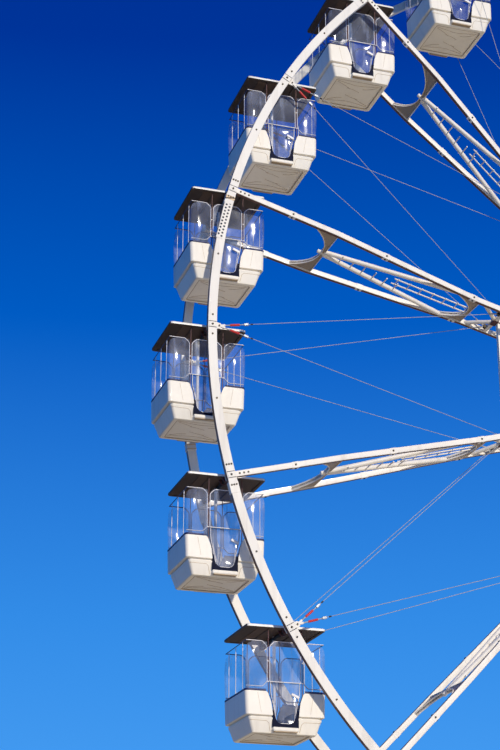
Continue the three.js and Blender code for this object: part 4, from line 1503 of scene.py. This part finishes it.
long_beam = i_beam(8.1, BEAM_HALF_WIDTH, 0.35, [-8.08 + 0.9 * k for k in range(18)] + [8.08])
for label, side in FRONT_BACK:
    made = stack(bmesh.new(), long_beam, place_at(0, side * BEAM_Y, 0))
    node = f"ground_beam_{label}"
    shaped_piece(f"{node}_section", made, [TOWER_PAINT], "tower", "tower_paint", node)
half_span = BEAM_Y - BEAM_HALF_WIDTH - SEAT_GAP
cross_beam = i_beam(half_span, 0.16, CROSS_BEAM_TOP, [-3.92 + 0.98 * k for k in range(9)])
for label, side in LEFT_RIGHT:
    quarter = Matrix.Rotation(math.pi / 2, 4, "Z")
    made = stack(bmesh.new(), cross_beam, place_at(side * CROSS_BEAM_X) @ quarter)
    node = f"cross_beam_{label}"
    shaped_piece(f"{node}_section", made, [TOWER_PAINT], "tower", "tower_paint", node)
print("ground beams", len(long_beam.faces), "faces")

# %% [markdown]
# People board from a low galvanised deck. Its panels have ribs against slipping, and lie on two beams whose
# legs stand on the ground in the middle and on the cross beams at the ends. A skirt closes each end.

# %% Deck
DECK_HALF, DECK_INNER, DECK_OUTER, DECK_TOP, DECK_THICK = 4.0, -0.9, -3.4, 0.75, 0.06
PANELS, PANEL_GAP = 8, 0.004
RIBS, RIB_START, RIB_PITCH = 7, 0.13, 0.124


def deck_panel(left, right):
    made = bmesh.new()
    low = (left + PANEL_GAP, DECK_OUTER, DECK_TOP - DECK_THICK)
    stack(made, box(low, (right - PANEL_GAP, DECK_INNER, DECK_TOP), edge=0.005))
    for k in range(RIBS):
        x = left + RIB_START + RIB_PITCH * k
        low = (x - 0.012, DECK_OUTER + 0.06, DECK_TOP - 0.002)
        high = (x + 0.012, DECK_INNER - 0.06, DECK_TOP + 0.004)
        stack(made, box(low, high, edge=0.002, steps=1))
    return made


def deck():
    made = bmesh.new()
    width = 2 * DECK_HALF / PANELS
    for k in range(PANELS):
        left = -DECK_HALF + width * k
        stack(made, deck_panel(left, left + width))
    for y in (DECK_INNER - 0.15, DECK_OUTER + 0.15):
        low, high = (-DECK_HALF + 0.06, y - 0.04, 0.57), (DECK_HALF - 0.06, y + 0.04, DECK_TOP - 0.05)
        stack(made, box(low, high, edge=0.008))
        for x in (-3.2, -1.1, 1.1, 3.2):
            foot = CROSS_BEAM_TOP + SEAT_GAP if abs(x) > 2 else 0
            stack(made, box((x - 0.04, y - 0.04, foot), (x + 0.04, y + 0.04, DECK_TOP - 0.05), edge=0.006))
            stack(made, box((x - 0.09, y - 0.09, foot), (x + 0.09, y + 0.09, foot + 0.012), edge=0.003))
    for side in SIDES:
        near, far = sorted((side * (DECK_HALF - DECK_THICK), side * DECK_HALF))
        low, high = (near, DECK_OUTER, DECK_TOP - 0.24), (far, DECK_INNER, DECK_TOP - 0.03)
        stack(made, box(low, high, edge=0.006))
    return made


deck_shape = deck()
shaped_piece("deck_plates", deck_shape, [ZINC], "tower", "galvanised", "platform_deck")
print("deck", len(deck_shape.faces), "faces")

# %% [markdown]
# A flight of four treads leads up to each end of the deck, between two side plates.

# %% Steps
TREADS, TREAD, RISE = 4, 0.3, DECK_TOP / 5
FLIGHT_START = DECK_HALF + SEAT_GAP


def steps():
    """The flight at the right end of the deck, seen from the front"""
    made = bmesh.new()
    for k in range(TREADS):
        x, z = FLIGHT_START + (TREADS - k) * TREAD, (k + 1) * RISE
        stack(made, box((x - TREAD - 0.02, -2.66, z - 0.04), (x, -1.54, z), edge=0.006))
        for r in range(4):
            rib = x - TREAD + 0.05 + 0.065 * r
            low, high = (rib - 0.008, -2.6, z - 0.002), (rib + 0.008, -1.6, z + 0.004)
            stack(made, box(low, high, edge=0.002, steps=1))
    end = FLIGHT_START + TREADS * TREAD
    outline = [(FLIGHT_START, 0), (end, 0), (end, RISE), (FLIGHT_START, 4 * RISE + RISE * 0.9)]
    for y in (-2.68, -1.52):
        stack(made, plate(outline, 0.04, edge=0.006), upright((0, y, 0)))
    return made


flight = steps()
for label, side in LEFT_RIGHT:
    made = stack(bmesh.new(), flight, mirrored(side))
    shaped_piece(f"flight_{label}", made, [ZINC], "tower", "galvanised", f"steps_{label}")
print("flights", len(flight.faces), "faces each")

# %% [markdown]
# The handrail runs along the deck's outer edge: one bent tube with posts, two thinner rails and foot plates.

# %% Handrail
RAIL_Y, RAIL_END, RAIL_RADIUS = -3.35, 3.9, 0.024


def handrail():
    made = bmesh.new()
    foot, top = DECK_TOP + SEAT_GAP, DECK_TOP + 1.1
    bend = top - 0.022
    corners = [(-RAIL_END, foot), (-RAIL_END, bend), (RAIL_END, bend), (RAIL_END, foot)]
    path = rounded_path([(x, RAIL_Y, z) for x, z in corners], 0.12)
    stack(made, tube(path, RAIL_RADIUS, sides=12))
    for x in (-1.95, 0.0, 1.95):
        stack(made, rod((x, RAIL_Y, foot), (x, RAIL_Y, top - 0.03), 0.021))
    for z in (0.35, 0.72):
        stack(made, rod((-RAIL_END, RAIL_Y, foot + z), (RAIL_END, RAIL_Y, foot + z), 0.016, sides=10))
    for x in (-RAIL_END, -1.95, 0.0, 1.95, RAIL_END):
        stack(made, box((x - 0.06, -3.40, foot), (x + 0.06, -3.30, foot + 0.012), edge=0.003))
    return made


rail_shape = handrail()
shaped_piece("handrail_tubes", rail_shape, [ZINC], "tower", "galvanised", "handrail")
print("handrail", len(rail_shape.faces), "faces")

# %% [markdown]
# A geared motor sits on the back head. Its housing is a bolted casting and the motor below has cooling fins.

# %% Drive unit
HOUSING_HALF, HOUSING_DEPTH = 0.38, 0.40
MOTOR_PROFILE = [(0, -0.40), (0.13, -0.40), (0.13, -1.13), (0.11, -1.15), (0, -1.15)]
FINS = 24


def drive():
    made = bmesh.new()
    y = HEAD_OUTER + SEAT_GAP
    low, high = (-HOUSING_HALF, y, HUB_HEIGHT - 0.42), (HOUSING_HALF, y + HOUSING_DEPTH, HUB_HEIGHT + 0.30)
    bore = rod((0, y - 0.1, HUB_HEIGHT), (0, 2.10, HUB_HEIGHT), 0.19, sides=48)
    stack(made, cut(box(low, high, edge=0.05, steps=3), bore))
    cover = turned([(0, 0.42), (0.20, 0.42), (0.24, 0.40), (0.24, 0.37), (0, 0.37)], 48)
    stack(made, cover, place_at(0, y, HUB_HEIGHT))
    motor_place = place_at(0, y + 0.23, HUB_HEIGHT)
    stack(made, turned(MOTOR_PROFILE, 32, axis="Z"), motor_place)
    fin = box((0.12, -0.005, -1.08), (0.165, 0.005, -0.46), edge=0.002, steps=1)
    for k in range(FINS):
        stack(made, fin, motor_place @ Matrix.Rotation(2 * math.pi * k / FINS, 4, "Z"))
    flange_bolt = bolt(0.02, 0.016)
    for x in (-0.33, 0.33):
        for z in (-0.36, -0.06, 0.24):
            stack(made, flange_bolt, facing((0, 1, 0), (x, y + HOUSING_DEPTH, HUB_HEIGHT + z)), paint=BOLTS)
    return made


drive_shape = drive()
shaped_piece("drive_casting", drive_shape, [DRIVE_GREY, BOLT_STEEL], "tower", "drive_grey", "drive_unit")
print("drive unit", len(drive_shape.faces), "faces")

# %% [markdown]
# ## Studio
# A pale floor bounces warm light to the undersides. Far away it darkens: a painted fall-off of light.

# %% Floor
FLOOR_RADIUS, FLOOR_SIDES = 260, 96
floor_mesh = bpy.data.meshes.new("floor")
floor_shape = bmesh.new()
bmesh.ops.create_circle(floor_shape, cap_ends=True, radius=FLOOR_RADIUS, segments=FLOOR_SIDES)
floor_shape.to_mesh(floor_mesh)
floor = bpy.data.objects.new("floor", floor_mesh)
floor_finish = Finish("floor_finish", Roughness=0.9)
pale = floor_finish.mix(floor_finish.noise(0.15), (0.93, 0.81, 0.53), (0.97, 0.87, 0.60))
away = floor_finish.node("ShaderNodeVectorMath", Vector=floor_finish.where)
away.operation = "DISTANCE"
away.inputs[1].default_value = (24, -16, 0)
# Far away the floor darkens, a painted fall-off of light.
fade = floor_finish.ranged(away.outputs["Value"], 45, 60)
floor_finish.send(floor_finish.mix(fade, pale, (0.05, 0.06, 0.09)), "Base Color")
floor_mesh.materials.append(floor_finish.material)
bpy.context.scene.collection.objects.link(floor)
print("floor laid, radius", FLOOR_RADIUS)

# %% [markdown]
# One sun-like lamp stands in front and a little to the right, at the height that the shadows in the
# photograph give. A broad warm lamp near the ground faces up and adds to what the floor bounces.

# %% Lights
TO_SUN = Vector((0.15, -0.90, 0.41))
sun = bpy.data.objects.new("key_light", bpy.data.lights.new("key_light", "SUN"))
sun.data.energy = 3.1
sun.data.angle = math.radians(2.5)
sun.data.color = (1.0, 0.925, 0.80)
sun.rotation_mode = "QUATERNION"
sun.rotation_quaternion = TO_SUN.to_track_quat("Z", "Y")
bpy.context.scene.collection.objects.link(sun)

bounce = bpy.data.objects.new("bounce_light", bpy.data.lights.new("bounce_light", "AREA"))
bounce.data.size = 36
bounce.data.energy = 2600
bounce.data.color = (1.0, 0.88, 0.66)
bounce.location = (12, -8, 0.4)
bounce.rotation_euler = (math.pi, 0, 0)
bpy.context.scene.collection.objects.link(bounce)
print("sun's height", round(math.degrees(math.asin(TO_SUN.normalized().z)), 1), "degrees")

# %% [markdown]
# The blue world deepens upwards. It fills the shade and sets the cream paint off. A ramp reads the height of
# each direction, and every step of it is a height with its colour.

# %% Sky
SKY = (
    (0.10, (0.07, 0.36, 0.92)), (0.235, (0.033, 0.262, 0.80)), (0.407, (0, 0.105, 0.546)),
    (0.553, (0, 0.034, 0.319)), (1.0, (0, 0.004, 0.10)),
)
world = bpy.data.worlds.new("studio")
world.use_nodes = True
nodes, links = world.node_tree.nodes, world.node_tree.links
towards, height, ramp = (
    nodes.new(kind) for kind in ("ShaderNodeTexCoord", "ShaderNodeSeparateXYZ", "ShaderNodeValToRGB")
)
for _ in SKY[2:]:
    ramp.color_ramp.elements.new(0.5)
for step, (place, colour) in zip(ramp.color_ramp.elements, SKY):
    step.position, step.color = place, (*colour, 1)
links.new(towards.outputs["Generated"], height.inputs["Vector"])
links.new(height.outputs["Z"], ramp.inputs["Fac"])
links.new(ramp.outputs["Color"], nodes["Background"].inputs["Color"])
bpy.context.scene.world = world
bpy.context.scene.view_settings.view_transform = "Standard"
print("studio ready")
